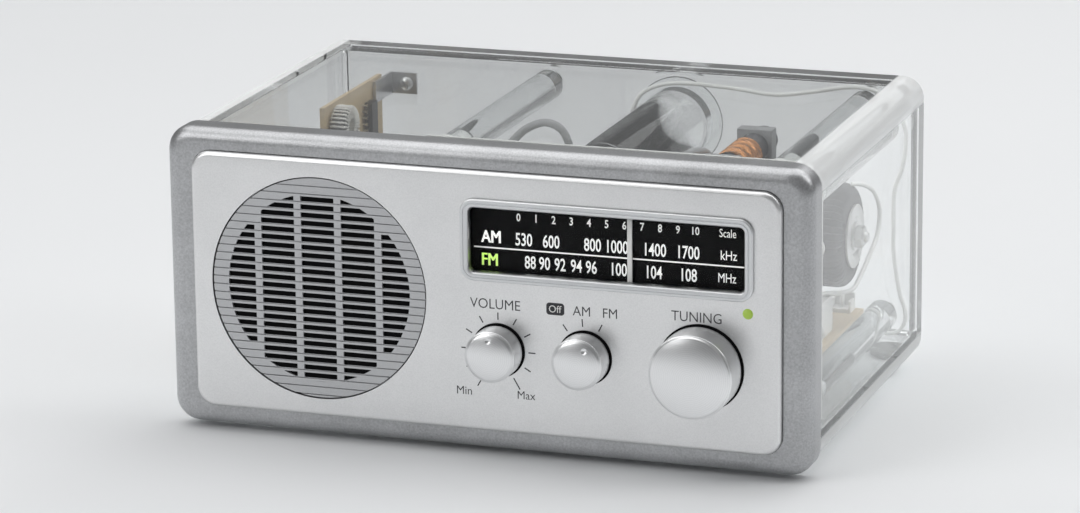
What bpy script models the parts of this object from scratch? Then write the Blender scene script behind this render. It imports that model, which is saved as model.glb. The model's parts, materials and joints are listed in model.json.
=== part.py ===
"""A clear-cased AM and FM table radio, as it comes apart on a bench. Metres, +Z up, the front faces -Y."""

import math

import bmesh
import bpy
from mathutils import Vector

mm = 0.001
GAP = 0.3 * mm  # between faces that touch on the real radio

# Front moulding and plate
FRONT_WIDTH = 240 * mm
FRONT_HEIGHT = 110 * mm
FRONT_RADIUS = 9 * mm
FRONT_EDGE = 5 * mm
FRONT_DEPTH = 11.5 * mm
WEB = 3 * mm
PLATE_SIDE_MARGIN = 10.6 * mm
PLATE_TOP_MARGIN = 7.85 * mm
PLATE_RADIUS = 7 * mm
PLATE_EDGE = 1.6 * mm
PLATE_THICKNESS = 3 * mm
PLATE_PROUD = 2.5 * mm
PLATE_WIDTH = FRONT_WIDTH - 2 * PLATE_SIDE_MARGIN
PLATE_HEIGHT = FRONT_HEIGHT - 2 * PLATE_TOP_MARGIN

# Cabinet
CABINET_INSET = 1 * mm
CABINET_WALL = 10 * mm
CABINET_RADIUS = 8 * mm
CABINET_DEPTH = 144 * mm
BACK_THICKNESS = 10 * mm
FOOT_HEIGHT = 3 * mm
FOOT_RADIUS = 8 * mm
FOOT_EDGE = 1 * mm
FOOT_INSET = 16 * mm
ROOM_HALF_WIDTH = FRONT_WIDTH / 2 - CABINET_INSET - CABINET_WALL
ROOM_HALF_HEIGHT = FRONT_HEIGHT / 2 - CABINET_INSET - CABINET_WALL
FLOOR = GAP - ROOM_HALF_HEIGHT

# Loudspeaker and grille, as large as the plate and the cabinet take
GRILLE_TOP_MARGIN = 6.65 * mm
GRILLE_SIDE_MARGIN = 7.7 * mm
GRILLE_BAND = 6 * mm
SLAT_PITCH = 2.95 * mm
SLOT_HEIGHT = 1.5 * mm
SHORTEST_SLOT = 2 * mm
RIB_PITCH = 15.2 * mm
RIB_WIDTH = 2.6 * mm
RIB_COUNT = 4
WEB_STEP = 1 * mm
CLOTH_LAP = 0.5 * mm
CLOTH_THICKNESS = 0.6 * mm
SPEAKER_CLEARANCE = 3 * mm
BASKET_FLANGE = 6 * mm
BASKET_BACK_RADIUS = 23 * mm
BASKET_DEPTH = 22 * mm
BASKET_SHEET = 2 * mm
BASKET_WINDOW = 18 * mm
ROLL_WIDTH = 4.5 * mm
CONE_TRAVEL = 1.5 * mm
CONE_SHEET = 0.8 * mm
CAP_HEIGHT = 4 * mm
COIL_RADIUS = 9.8 * mm
COIL_CLEARANCE = 1.2 * mm
POLE_RADIUS = 8.5 * mm
MAGNET_RADIUS = 24 * mm
MAGNET_DEPTH = 10 * mm
YOKE_THICKNESS = 3 * mm
YOKE_STEP = 2 * mm
GRILLE_RADIUS = PLATE_HEIGHT / 2 - GRILLE_TOP_MARGIN
GRILLE_X = GRILLE_SIDE_MARGIN + GRILLE_RADIUS - PLATE_WIDTH / 2
GRILLE_OPEN_RADIUS = GRILLE_RADIUS - GRILLE_BAND
WEB_OPENING = GRILLE_OPEN_RADIUS + WEB_STEP
CLOTH_RADIUS = WEB_OPENING + CLOTH_LAP
BASKET_RADIUS = ROOM_HALF_HEIGHT - SPEAKER_CLEARANCE
BASKET_MOUTH = BASKET_RADIUS - BASKET_FLANGE
CONE_RADIUS = BASKET_MOUTH - ROLL_WIDTH

# Dial, between the grille and the right edge of the plate
DIAL_LEFT_MARGIN = 16.65 * mm
DIAL_RIGHT_MARGIN = 12.75 * mm
DIAL_TOP_MARGIN = 12.7 * mm
DIAL_HEIGHT = 23.3 * mm
DIAL_RADIUS = 2 * mm
DIAL_RIM = 3.1 * mm
DIAL_LIP = 1.6 * mm
RIM_PROUD = 1.2 * mm
LENS_THICKNESS = 1.5 * mm
SCALE_THICKNESS = 1.2 * mm
SCALE_OVERLAP = 1.7 * mm
SCALE_RADIUS = 1 * mm
BACKING_THICKNESS = 1.5 * mm
TAB_INSET = 12.35 * mm
TAB_WIDTH = 14 * mm
TAB_DROP = 8 * mm
POINTER_WIDTH = 1.7 * mm
POINTER_THICKNESS = 0.8 * mm
POINTER_PLACE = 57.85 * mm
DIAL_LEFT = GRILLE_X + GRILLE_RADIUS + DIAL_LEFT_MARGIN
DIAL_RIGHT = PLATE_WIDTH / 2 - DIAL_RIGHT_MARGIN
DIAL_WIDTH = DIAL_RIGHT - DIAL_LEFT
DIAL_X = (DIAL_LEFT + DIAL_RIGHT) / 2
DIAL_Z = PLATE_HEIGHT / 2 - DIAL_TOP_MARGIN - DIAL_HEIGHT / 2
POINTER_X = DIAL_LEFT + POINTER_PLACE
TABS_X = (DIAL_LEFT + TAB_INSET, DIAL_RIGHT - TAB_INSET)

# Controls, in a row below the dial
CONTROL_CLEARANCE = 9.95 * mm
VOLUME_INSET = 10.35 * mm
TUNING_INSET = 16.05 * mm
BAND_SHARE = 0.43203  # of the way from the volume knob to the tuning knob
KNOB_LIFT = 0.8 * mm
KNOB_RADIUS = 9.3 * mm
KNOB_LENGTH = 10.5 * mm
TUNING_RADIUS = 15.1 * mm
TUNING_LENGTH = 14.5 * mm
KNOB_EDGE = 0.9 * mm
KNOB_DOME = 0.5 * mm
KNOB_FOOT = 1 * mm
KNOB_WALL = 3 * mm
DIMPLE_RADIUS = 1.6 * mm
DIMPLE_LIFT = 0.4 * mm
BAND_REST = 30  # degrees from the top, at the FM mark
SPINDLE_RADIUS = 2.9 * mm
SPINDLE_SEAT = 3 * mm
SHAFT_TAIL = 2 * mm
BUSH_WALL = 1.2 * mm
BUSH_LENGTH = 5.6 * mm
BUSH_COLLAR = 3 * mm
POT_RADIUS = 8.5 * mm
POT_DEPTH = 10 * mm
SWITCH_RADIUS = 12 * mm
SWITCH_DEPTH = 14 * mm
CONTROL_HOLE = 7.5 * mm
LAMP_PAST_DIAL = 0.95 * mm
LAMP_BELOW_RIM = 4.35 * mm
LAMP_RADIUS = 1.5 * mm
LAMP_FLANGE = 1 * mm
RIM_BOTTOM = DIAL_Z - DIAL_HEIGHT / 2 - DIAL_RIM
CONTROL_Z = RIM_BOTTOM - CONTROL_CLEARANCE - TUNING_RADIUS
VOLUME_X = DIAL_LEFT + VOLUME_INSET
TUNING_X = DIAL_RIGHT - TUNING_INSET
BAND_X = VOLUME_X + BAND_SHARE * (TUNING_X - VOLUME_X)
LAMP_X = DIAL_RIGHT + LAMP_PAST_DIAL
LAMP_Z = RIM_BOTTOM - LAMP_BELOW_RIM

# Rods between the chassis and the back panel
ROD_RADIUS = 5.8 * mm
ROD_FROM_SPEAKER = 36.2 * mm
ROD_FROM_SIDE = 10.5 * mm
ROD_FROM_TOP = 8 * mm
ROD_STEP = 2.5 * mm
SOCKET_RADIUS = 4.5 * mm
SOCKET_REACH = 14 * mm
SOCKET_COLLAR = 1 * mm
ROD_LEFT_X = GRILLE_X + ROD_FROM_SPEAKER
ROD_RIGHT_X = ROOM_HALF_WIDTH - ROD_FROM_SIDE
ROD_Z = ROOM_HALF_HEIGHT - ROD_FROM_TOP

# Dial drive, behind the face of the plate
CHASSIS_DEPTH = 32 * mm
CHASSIS_SHEET = 1.5 * mm
CHASSIS_EDGE = 2 * mm
POST_RADIUS = 3.2 * mm
LEFT_POST_STEP = (12 * mm, 1 * mm)
RIGHT_POST_STEP = 5.5 * mm
RIGHT_POSTS_Z = (20 * mm, -10 * mm)
CORD_DEPTH = 28 * mm
CORD_RADIUS = 0.4 * mm
DRUM_PITCH_RADIUS = 21.9 * mm
DRUM_ASIDE = 3.9 * mm
DRUM_BELOW = 2.6 * mm
DRUM_WIDTH = 5 * mm
DRUM_SPINDLE = 3 * mm
GROOVE_WIDTH = 2 * mm
FLANGE_REACH = 1.3 * mm
IDLER_PITCH_RADIUS = 4 * mm
IDLER_PIN = 1.2 * mm
IDLER_HEAD = 1 * mm
IDLER_LEFT_INSET = 4.05 * mm
IDLER_PAST_DIAL = 0.35 * mm
IDLER_BELOW_RAIL = 9.3 * mm
RAIL_RADIUS = 1.2 * mm
RAIL_DEPTH = 22 * mm
RAIL_ABOVE_DIAL = 16.5 * mm
RAIL_LEFT_STEP = 3 * mm
RAIL_RIGHT_STEP = 1 * mm
CARRIAGE_HALF_DEPTH = 2.5 * mm
CARRIAGE_HALF_HEIGHT = 2.3 * mm
CARRIAGE_HALF_WIDTH = 6 * mm
CLIP_HALF_WIDTH = 3 * mm
CAPACITOR_SIDE = 22 * mm
CAPACITOR_DEPTH = 16 * mm
RAIL_Z = DIAL_Z + RAIL_ABOVE_DIAL
IDLER_LEFT_X = DIAL_LEFT + IDLER_LEFT_INSET
IDLER_RIGHT_X = DIAL_RIGHT + IDLER_PAST_DIAL
IDLER_Z = RAIL_Z - IDLER_BELOW_RAIL
DRUM_X = IDLER_LEFT_X + DRUM_PITCH_RADIUS - DRUM_ASIDE
DRUM_Z = IDLER_Z - DRUM_PITCH_RADIUS - DRUM_BELOW

# Port and rear fittings
PORT_FROM_DIAL = 28.05 * mm
PORT_FROM_TOP = 21 * mm
PORT_RADIUS = 13.5 * mm
PORT_WALL = 2 * mm
PORT_LENGTH = 96 * mm
PORT_LIP = 4 * mm
PORT_LIP_THICKNESS = 1.8 * mm
PORT_LIP_EDGE = 1 * mm
PORT_FLARE = 1.5 * mm
JACK_FROM_SIDE = 59 * mm
JACK_FROM_BOTTOM = 24 * mm
JACK_PLATE = (66 * mm, 30 * mm, 2 * mm)
JACK_PLATE_RADIUS = 3 * mm
JACK_PLATE_LAP = 4 * mm
JACK_RADIUS = 3 * mm
JACK_BORE = 1.8 * mm
JACK_PITCH = 10 * mm
JACK_STEP = 2 * mm
JACK_STRIP = 4.5 * mm
JACK_NOSE = 1 * mm
JACK_FLOOR = 3 * mm
INLET_STEP = 16 * mm
INLET_SIZE = (20 * mm, 14 * mm)
INLET_FLANGE = 1.5 * mm
INLET_FLANGE_RADIUS = 2 * mm
INLET_WALL = 2.5 * mm
INLET_FLOOR = 4 * mm
INLET_RECESS_RADIUS = 3 * mm
INLET_HOLE_RADIUS = 1 * mm
INLET_LIP = 1.4 * mm
INLET_DEPTH = 16 * mm
PORT_X = DIAL_LEFT + PORT_FROM_DIAL
PORT_Z = ROOM_HALF_HEIGHT - PORT_FROM_TOP
JACK_X = JACK_FROM_SIDE - ROOM_HALF_WIDTH
JACK_Z = JACK_FROM_BOTTOM - ROOM_HALF_HEIGHT
JACKS_X = [JACK_X + JACK_STEP + JACK_PITCH * k for k in range(3)]
INLET_X = JACK_X - INLET_STEP

# Boards and what stands on them
BOARD_SHEET = 1.6 * mm
BOARD_ABOVE_FLOOR = 18.9 * mm
BOARD_WIDTH = 86 * mm
BOARD_SIDE_GAP = 9 * mm
BOARD_DEPTH = (46 * mm, 116 * mm)
STAND_ENDS = (4 * mm, 12 * mm)
STAND_INSET = 4 * mm
STAND_SHEET = 1.5 * mm
BLOCK_SIZE = (13 * mm, 14 * mm, 13.5 * mm)
BLOCK_SIDE_GAP = 3 * mm
BLOCK_BEFORE_TOROID = 22 * mm
TOROID_WIDTH = 20 * mm
TOROID_BUILD = 13 * mm
TOROID_CORNER = 4 * mm
TOROID_DEPTH = 92 * mm
TOROID_CLEARANCE = 1 * mm
TOROID_ROD_CLEARANCE = 2.2 * mm
TOROID_INSET = 17.7 * mm
BRACKET_MARGIN = 3 * mm
BRACKET_FOOT = 16 * mm
AMP_SIDE_GAP = 18.2 * mm
AMP_TOP_GAP = 6 * mm
AMP_DEPTH = (79 * mm, 139 * mm)
AMP_BRACKET_SHEET = 1.2 * mm
AMP_BRACKET_REACH = 11 * mm
AMP_BRACKET_OVERLAP = 10 * mm
AMP_BRACKET_BAND = (9 * mm, 1 * mm)
CHOKE_RADIUS = 8 * mm
CHOKE_HOLE = 3.2 * mm
CHOKE_WIDTH = 7 * mm
CHOKE_EDGE = 2 * mm
CHOKE_INSET = (11 * mm, 9 * mm)
FERRITE_FROM_ROD = 26.5 * mm
FERRITE_FROM_TOP = 13 * mm
FERRITE_RADIUS = 5 * mm
FERRITE_DEPTH = (46 * mm, 108 * mm)
HOLDER_ARM = (8 * mm, 2 * mm)
HOLDER_DROP = 4 * mm
HOLDER_END = 5 * mm
HOLDER_FOOT = (16 * mm, 2 * mm, 12 * mm)
SADDLE_INSETS = (4 * mm, 8 * mm)
SADDLE_WIDTH = 6 * mm
SADDLE_WALL = 1.5 * mm
WINDING_GAPS = (6 * mm, 10 * mm)
WINDING_BUILD = 1 * mm
BOARD_TOP = FLOOR + BOARD_ABOVE_FLOOR
BOARD_X = (ROOM_HALF_WIDTH - BOARD_SIDE_GAP - BOARD_WIDTH, ROOM_HALF_WIDTH - BOARD_SIDE_GAP)
BOARD_SEAT = BOARD_TOP + GAP
TOROID_BOTTOM = BOARD_SEAT + BLOCK_SIZE[2] + TOROID_CLEARANCE
TOROID_RADIUS = (ROD_Z - ROD_RADIUS - TOROID_ROD_CLEARANCE - TOROID_BOTTOM) / 2
TOROID_HOLE = TOROID_RADIUS - TOROID_BUILD
TOROID_X = BOARD_X[1] - TOROID_INSET
TOROID_Z = TOROID_BOTTOM + TOROID_RADIUS
AMP_X = AMP_SIDE_GAP - ROOM_HALF_WIDTH
AMP_TOP = ROOM_HALF_HEIGHT - AMP_TOP_GAP
FERRITE_X = ROD_RIGHT_X - FERRITE_FROM_ROD
FERRITE_Z = ROOM_HALF_HEIGHT - FERRITE_FROM_TOP

# Wires
AERIAL_RADIUS = 0.8 * mm
LEAD_RADIUS = 1.5 * mm
CABLE_RADIUS = 1.8 * mm

# Depths behind the face of the plate, and the place of the whole radio
TUBE_START = PLATE_PROUD + FRONT_DEPTH + GAP
TUBE_END = TUBE_START + CABINET_DEPTH
PANEL_FACE = TUBE_END - BACK_THICKNESS
REAR_REACH = TUBE_END + GAP + JACK_PLATE[2] + GAP + INLET_LIP
FRONT_REACH = KNOB_LIFT + TUNING_LENGTH
FACE = (FRONT_REACH - REAR_REACH) / 2
MID = FOOT_HEIGHT - CABINET_INSET + FRONT_HEIGHT / 2
WEB_FACE = PLATE_THICKNESS + GAP
WEB_BACK = WEB_FACE + WEB
SEAT = WEB_BACK + GAP
BORE = SPINDLE_RADIUS + GAP
BUSH_RADIUS = BORE + BUSH_WALL
BUSH_FRONT = SEAT - BUSH_LENGTH
BUSH_HOLE = BUSH_RADIUS + GAP
SCALE_FRONT = WEB_BACK - SCALE_THICKNESS + GAP / 3
SCALE_WIDTH = DIAL_WIDTH + 2 * SCALE_OVERLAP
SCALE_HEIGHT = DIAL_HEIGHT + 2 * SCALE_OVERLAP
BACKING_FRONT = SCALE_FRONT + SCALE_THICKNESS + GAP
CHASSIS_BACK = CHASSIS_DEPTH + CHASSIS_SHEET + GAP
CORD_SEAT = CORD_RADIUS + GAP
WRAP_RADIUS = SPINDLE_RADIUS + CORD_SEAT
SPEAKER_FRONT = SEAT + CLOTH_THICKNESS + GAP
BASKET_BACK = SPEAKER_FRONT + BASKET_DEPTH
MAGNET_FRONT = BASKET_BACK + GAP
YOKE_FRONT = MAGNET_FRONT + MAGNET_DEPTH + GAP
MAGNET_HOLE = COIL_RADIUS + COIL_CLEARANCE
ROD_START = CHASSIS_BACK + ROD_STEP
RODS = [(x, z) for x in (ROD_LEFT_X, ROD_RIGHT_X) for z in (-ROD_Z, ROD_Z)]
LEFT_POST_X = ROD_LEFT_X + LEFT_POST_STEP[0]
LEFT_POST_Z = ROD_Z - LEFT_POST_STEP[1]
POSTS = [(LEFT_POST_X, z) for z in (LEFT_POST_Z, -LEFT_POST_Z)]
POSTS += [(ROD_RIGHT_X + RIGHT_POST_STEP, z) for z in RIGHT_POSTS_Z]

SILVER = ((0.55, 0.56, 0.58), 0.35, 0.8)
ALUMINIUM = ((0.78, 0.79, 0.8), 0.3, 0.9)
CLEAR = ((0.9, 0.95, 0.95), 0.05, 0.0)
BLACK = ((0.02, 0.02, 0.02), 0.5, 0.0)
WHITE = ((0.9, 0.9, 0.88), 0.4, 0.0)
GREY = ((0.35, 0.36, 0.37), 0.5, 0.0)
STEEL = ((0.6, 0.6, 0.6), 0.3, 1.0)
BOARD = ((0.5, 0.35, 0.18), 0.6, 0.0)
GREEN = ((0.2, 0.8, 0.2), 0.2, 0.0)
COPPER = ((0.72, 0.4, 0.2), 0.35, 0.9)

for old in list(bpy.data.objects):
    bpy.data.objects.remove(old)


def place(x, depth, height):
    """A point given from the middle of the front plate's face."""
    return Vector((x, FACE + depth, MID + height))


def paint(obj, finish):
    material = bpy.data.materials.new(obj.name)
    material.use_nodes = True
    shader = material.node_tree.nodes["Principled BSDF"]
    shader.inputs["Base Color"].default_value = (*finish[0], 1)
    shader.inputs["Roughness"].default_value = finish[1]
    shader.inputs["Metallic"].default_value = finish[2]
    obj.data.materials.append(material)


def piece(name, bm, finish, at=(0, 0, 0)):
    """An object whose mesh is kept about its own origin, at the given place."""
    bmesh.ops.recalc_face_normals(bm, faces=bm.faces)
    bmesh.ops.translate(bm, verts=bm.verts, vec=-Vector(at))
    mesh = bpy.data.meshes.new(name)
    bm.to_mesh(mesh)
    bm.free()
    mesh.shade_smooth()
    mesh.set_sharp_from_angle(angle=math.radians(35))
    obj = bpy.data.objects.new(name, mesh)
    obj.location = at
    bpy.context.scene.collection.objects.link(obj)
    paint(obj, finish)
    return obj


def boolean(obj, other, operation):
    other.hide_render = True
    other.display_type = "WIRE"
    modifier = obj.modifiers.new(other.name, "BOOLEAN")
    modifier.operation = operation
    modifier.solver = "EXACT"
    modifier.object = other


def rounded(width, height, radius, x=0.0, z=0.0, steps=5):
    """A rectangle with round corners, as (x, z) points."""
    points = []
    for k, (sx, sz) in enumerate(((1, 1), (-1, 1), (-1, -1), (1, -1))):
        for i in range(steps + 1):
            angle = math.pi / 2 * (k + i / steps)
            points.append((x + sx * (width / 2 - radius) + radius * math.cos(angle),
                           z + sz * (height / 2 - radius) + radius * math.sin(angle)))
    return points


def box_outline(x0, x1, z0, z1):
    return [(x0, z0), (x1, z0), (x1, z1), (x0, z1)]


def loft(bm, rings):
    """A solid through closed rings of points, with flat ends."""
    loops = [[bm.verts.new(p) for p in ring] for ring in rings]
    for a, b in zip(loops, loops[1:]):
        for i in range(len(a)):
            j = (i + 1) % len(a)
            bm.faces.new((a[i], a[j], b[j], b[i]))
    bm.faces.new(loops[0])
    bm.faces.new(loops[-1])


def slab(bm, outline, start, end):
    """An (x, z) outline run back from one depth to another."""
    loft(bm, [[place(x, depth, z) for x, z in outline] for depth in (start, end)])


def block(bm, x, depth, z):
    slab(bm, box_outline(*x, *z), *depth)


def turned(bm, profile, centre, axis="y", sides=32, closed=False):
    """A (radius, distance) profile turned about an axis through a centre."""
    across = {"x": (1, 2), "y": (0, 2), "z": (0, 1)}[axis]
    along = "xyz".index(axis)
    rings = []
    for radius, distance in profile:
        ring = []
        for k in range(sides if radius > 0 else 1):
            point = Vector(centre)
            point[along] += distance
            point[across[0]] += radius * math.cos(2 * math.pi * k / sides)
            point[across[1]] += radius * math.sin(2 * math.pi * k / sides)
            ring.append(bm.verts.new(point))
        rings.append(ring)
    pairs = list(zip(rings, rings[1:]))
    if closed:
        pairs.append((rings[-1], rings[0]))
    for a, b in pairs:
        for k in range(sides):
            corners = [a[k % len(a)], a[(k + 1) % len(a)], b[(k + 1) % len(b)], b[k % len(b)]]
            distinct = list(dict.fromkeys(corners))
            if len(distinct) > 2:
                bm.faces.new(distinct)


def rod(bm, radius, centre, start, end, axis="y", sides=16):
    turned(bm, [(0, start), (radius, start), (radius, end), (0, end)], centre, axis, sides)


def smooth(route, steps):
    """Points along a smooth curve through a route."""
    points = [Vector(p) for p in route]
    padded = [2 * points[0] - points[1], *points, 2 * points[-1] - points[-2]]
    out = []
    for a, b, c, d in zip(padded, padded[1:], padded[2:], padded[3:]):
        for k in range(steps):
            t = k / steps
            out.append(0.5 * (2 * b + (c - a) * t + (2 * a - 5 * b + 4 * c - d) * t * t
                              + (3 * b - a - 3 * c + d) * t ** 3))
    return out + [points[-1]]


def wire(name, points, radius, finish, cyclic=False):
    curve = bpy.data.curves.new(name, "CURVE")
    curve.dimensions = "3D"
    curve.bevel_depth = radius
    curve.bevel_resolution = 2
    curve.use_fill_caps = True
    spline = curve.splines.new("POLY")
    spline.points.add(len(points) - 1)
    for target, point in zip(spline.points, points):
        target.co = (*point, 1)
    spline.use_cyclic_u = cyclic
    obj = bpy.data.objects.new(name, curve)
    bpy.context.scene.collection.objects.link(obj)
    paint(obj, finish)
    return obj


def plate(name, outlines, start, end, finish):
    """A flat sheet: the first outline is its edge and the others are holes."""
    curve = bpy.data.curves.new(name, "CURVE")
    curve.dimensions = "2D"
    curve.fill_mode = "BOTH"
    curve.extrude = (end - start) / 2
    for outline in outlines:
        spline = curve.splines.new("POLY")
        spline.points.add(len(outline) - 1)
        for target, (x, z) in zip(spline.points, outline):
            target.co = (x, z, 0, 1)
        spline.use_cyclic_u = True
    obj = bpy.data.objects.new(name, curve)
    obj.rotation_euler = (math.pi / 2, 0, 0)
    obj.location = place(0, (start + end) / 2, 0)
    bpy.context.scene.collection.objects.link(obj)
    paint(obj, finish)
    return obj


def circle(radius, x=0.0, z=0.0, sides=32):
    return [(x + radius * math.cos(2 * math.pi * k / sides), z + radius * math.sin(2 * math.pi * k / sides))
            for k in range(sides)]


def cabinet():
    width = 2 * (ROOM_HALF_WIDTH + CABINET_WALL)
    height = 2 * (ROOM_HALF_HEIGHT + CABINET_WALL)
    outer = rounded(width, height, CABINET_RADIUS)
    room = box_outline(-ROOM_HALF_WIDTH, ROOM_HALF_WIDTH, -ROOM_HALF_HEIGHT, ROOM_HALF_HEIGHT)
    plate("cabinet_shell", [outer, room], TUBE_START, TUBE_END, CLEAR)
    half_width, half_height = ROOM_HALF_WIDTH - GAP, ROOM_HALF_HEIGHT - GAP
    inner = box_outline(-half_width, half_width, -half_height, half_height)
    holes = [circle(PORT_RADIUS + GAP, PORT_X, PORT_Z)]
    jacks_wide, jacks_high = (side - 2 * JACK_PLATE_LAP for side in JACK_PLATE[:2])
    holes.append(rounded(jacks_wide, jacks_high, JACK_PLATE_LAP / 2, JACK_X, JACK_Z, 3))
    plate("back_panel", [inner, *holes], PANEL_FACE, TUBE_END, CLEAR)
    reach = FRONT_WIDTH / 2 - FOOT_INSET
    top = FOOT_HEIGHT - GAP
    for across, x in (("left", -reach), ("right", reach)):
        for along, depth in (("front", TUBE_START + FOOT_INSET), ("rear", TUBE_END - FOOT_INSET)):
            foot = bmesh.new()
            centre = Vector((x, FACE + depth, 0))
            turned(foot, [(0, 0), (FOOT_RADIUS - FOOT_EDGE, 0), (FOOT_RADIUS, FOOT_EDGE), (FOOT_RADIUS, top),
                          (0, top)], centre, "z", 20)
            piece(f"foot_{along}_{across}", foot, BLACK, centre)


def front_holes(bm, bush_hole, speaker_hole, opening, start, end):
    """Cutters for what passes through the front: shafts, lamp, loudspeaker and dial."""
    for x in (VOLUME_X, BAND_X, TUNING_X):
        rod(bm, bush_hole, place(x, 0, CONTROL_Z), start, end, sides=24)
    rod(bm, LAMP_RADIUS + GAP, place(LAMP_X, 0, LAMP_Z), start, end)
    rod(bm, speaker_hole, place(GRILLE_X, 0, 0), start, end, sides=48)
    slab(bm, opening, start, end)


def front():
    body = bmesh.new()
    steps = 4
    rings = []
    for k in range(steps + 1):
        angle = math.pi / 2 * k / steps
        inset = FRONT_EDGE * (1 - math.sin(angle))
        depth = PLATE_PROUD + FRONT_EDGE * (1 - math.cos(angle))
        ring = rounded(FRONT_WIDTH - 2 * inset, FRONT_HEIGHT - 2 * inset, FRONT_RADIUS - inset / 2)
        rings.append([place(x, depth, z) for x, z in ring])
    edge = rounded(FRONT_WIDTH, FRONT_HEIGHT, FRONT_RADIUS)
    rings.append([place(x, PLATE_PROUD + FRONT_DEPTH, z) for x, z in edge])
    loft(body, rings)
    bezel = piece("front_bezel", body, SILVER)
    pocket = bmesh.new()
    slab(pocket, rounded(PLATE_WIDTH + 2 * GAP, PLATE_HEIGHT + 2 * GAP, PLATE_RADIUS + GAP), 0, WEB_FACE)
    boolean(bezel, piece("plate_pocket", pocket, SILVER), "DIFFERENCE")
    tray = bmesh.new()
    hollow = rounded(2 * ROOM_HALF_WIDTH, 2 * ROOM_HALF_HEIGHT, GAP, steps=1)
    slab(tray, hollow, WEB_BACK, TUBE_START + FRONT_DEPTH)
    boolean(bezel, piece("rear_tray", tray, SILVER), "DIFFERENCE")
    slot = box_outline(DIAL_X - SCALE_WIDTH / 2 - 2 * GAP, DIAL_X + SCALE_WIDTH / 2 + 2 * GAP,
                       DIAL_Z - SCALE_HEIGHT / 2 - 2 * GAP, RAIL_Z + 2 * RAIL_RADIUS)
    openings = bmesh.new()
    front_holes(openings, BUSH_HOLE, WEB_OPENING, slot, -FRONT_DEPTH, TUBE_START)
    boolean(bezel, piece("front_openings", openings, SILVER), "DIFFERENCE")

    sheet = bmesh.new()
    rings = []
    for k in range(4):
        angle = math.pi / 6 * k
        inset = PLATE_EDGE * (1 - math.sin(angle))
        ring = rounded(PLATE_WIDTH - 2 * inset, PLATE_HEIGHT - 2 * inset, PLATE_RADIUS - inset / 2)
        rings.append([place(x, PLATE_EDGE * (1 - math.cos(angle)), z) for x, z in ring])
    edge = rounded(PLATE_WIDTH, PLATE_HEIGHT, PLATE_RADIUS)
    rings.append([place(x, PLATE_THICKNESS, z) for x, z in edge])
    loft(sheet, rings)
    face = piece("front_plate", sheet, ALUMINIUM)
    cutters = bmesh.new()
    lip = DIAL_LIP + GAP
    sleeve = rounded(DIAL_WIDTH + 2 * lip, DIAL_HEIGHT + 2 * lip, DIAL_RADIUS + DIAL_LIP, DIAL_X, DIAL_Z)
    front_holes(cutters, CONTROL_HOLE, GRILLE_RADIUS + GAP, sleeve, -PLATE_THICKNESS, 2 * PLATE_THICKNESS)
    boolean(face, piece("plate_openings", cutters, SILVER), "DIFFERENCE")

    lamp = bmesh.new()
    r = LAMP_RADIUS
    back = SEAT + LAMP_FLANGE
    turned(lamp, [(0, -0.7 * r), (0.6 * r, -0.5 * r), (r, 0), (r, SEAT), (1.5 * r, SEAT), (1.5 * r, back),
                  (0, back)], place(LAMP_X, 0, LAMP_Z), sides=16)
    piece("tuning_lamp", lamp, GREEN)


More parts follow.
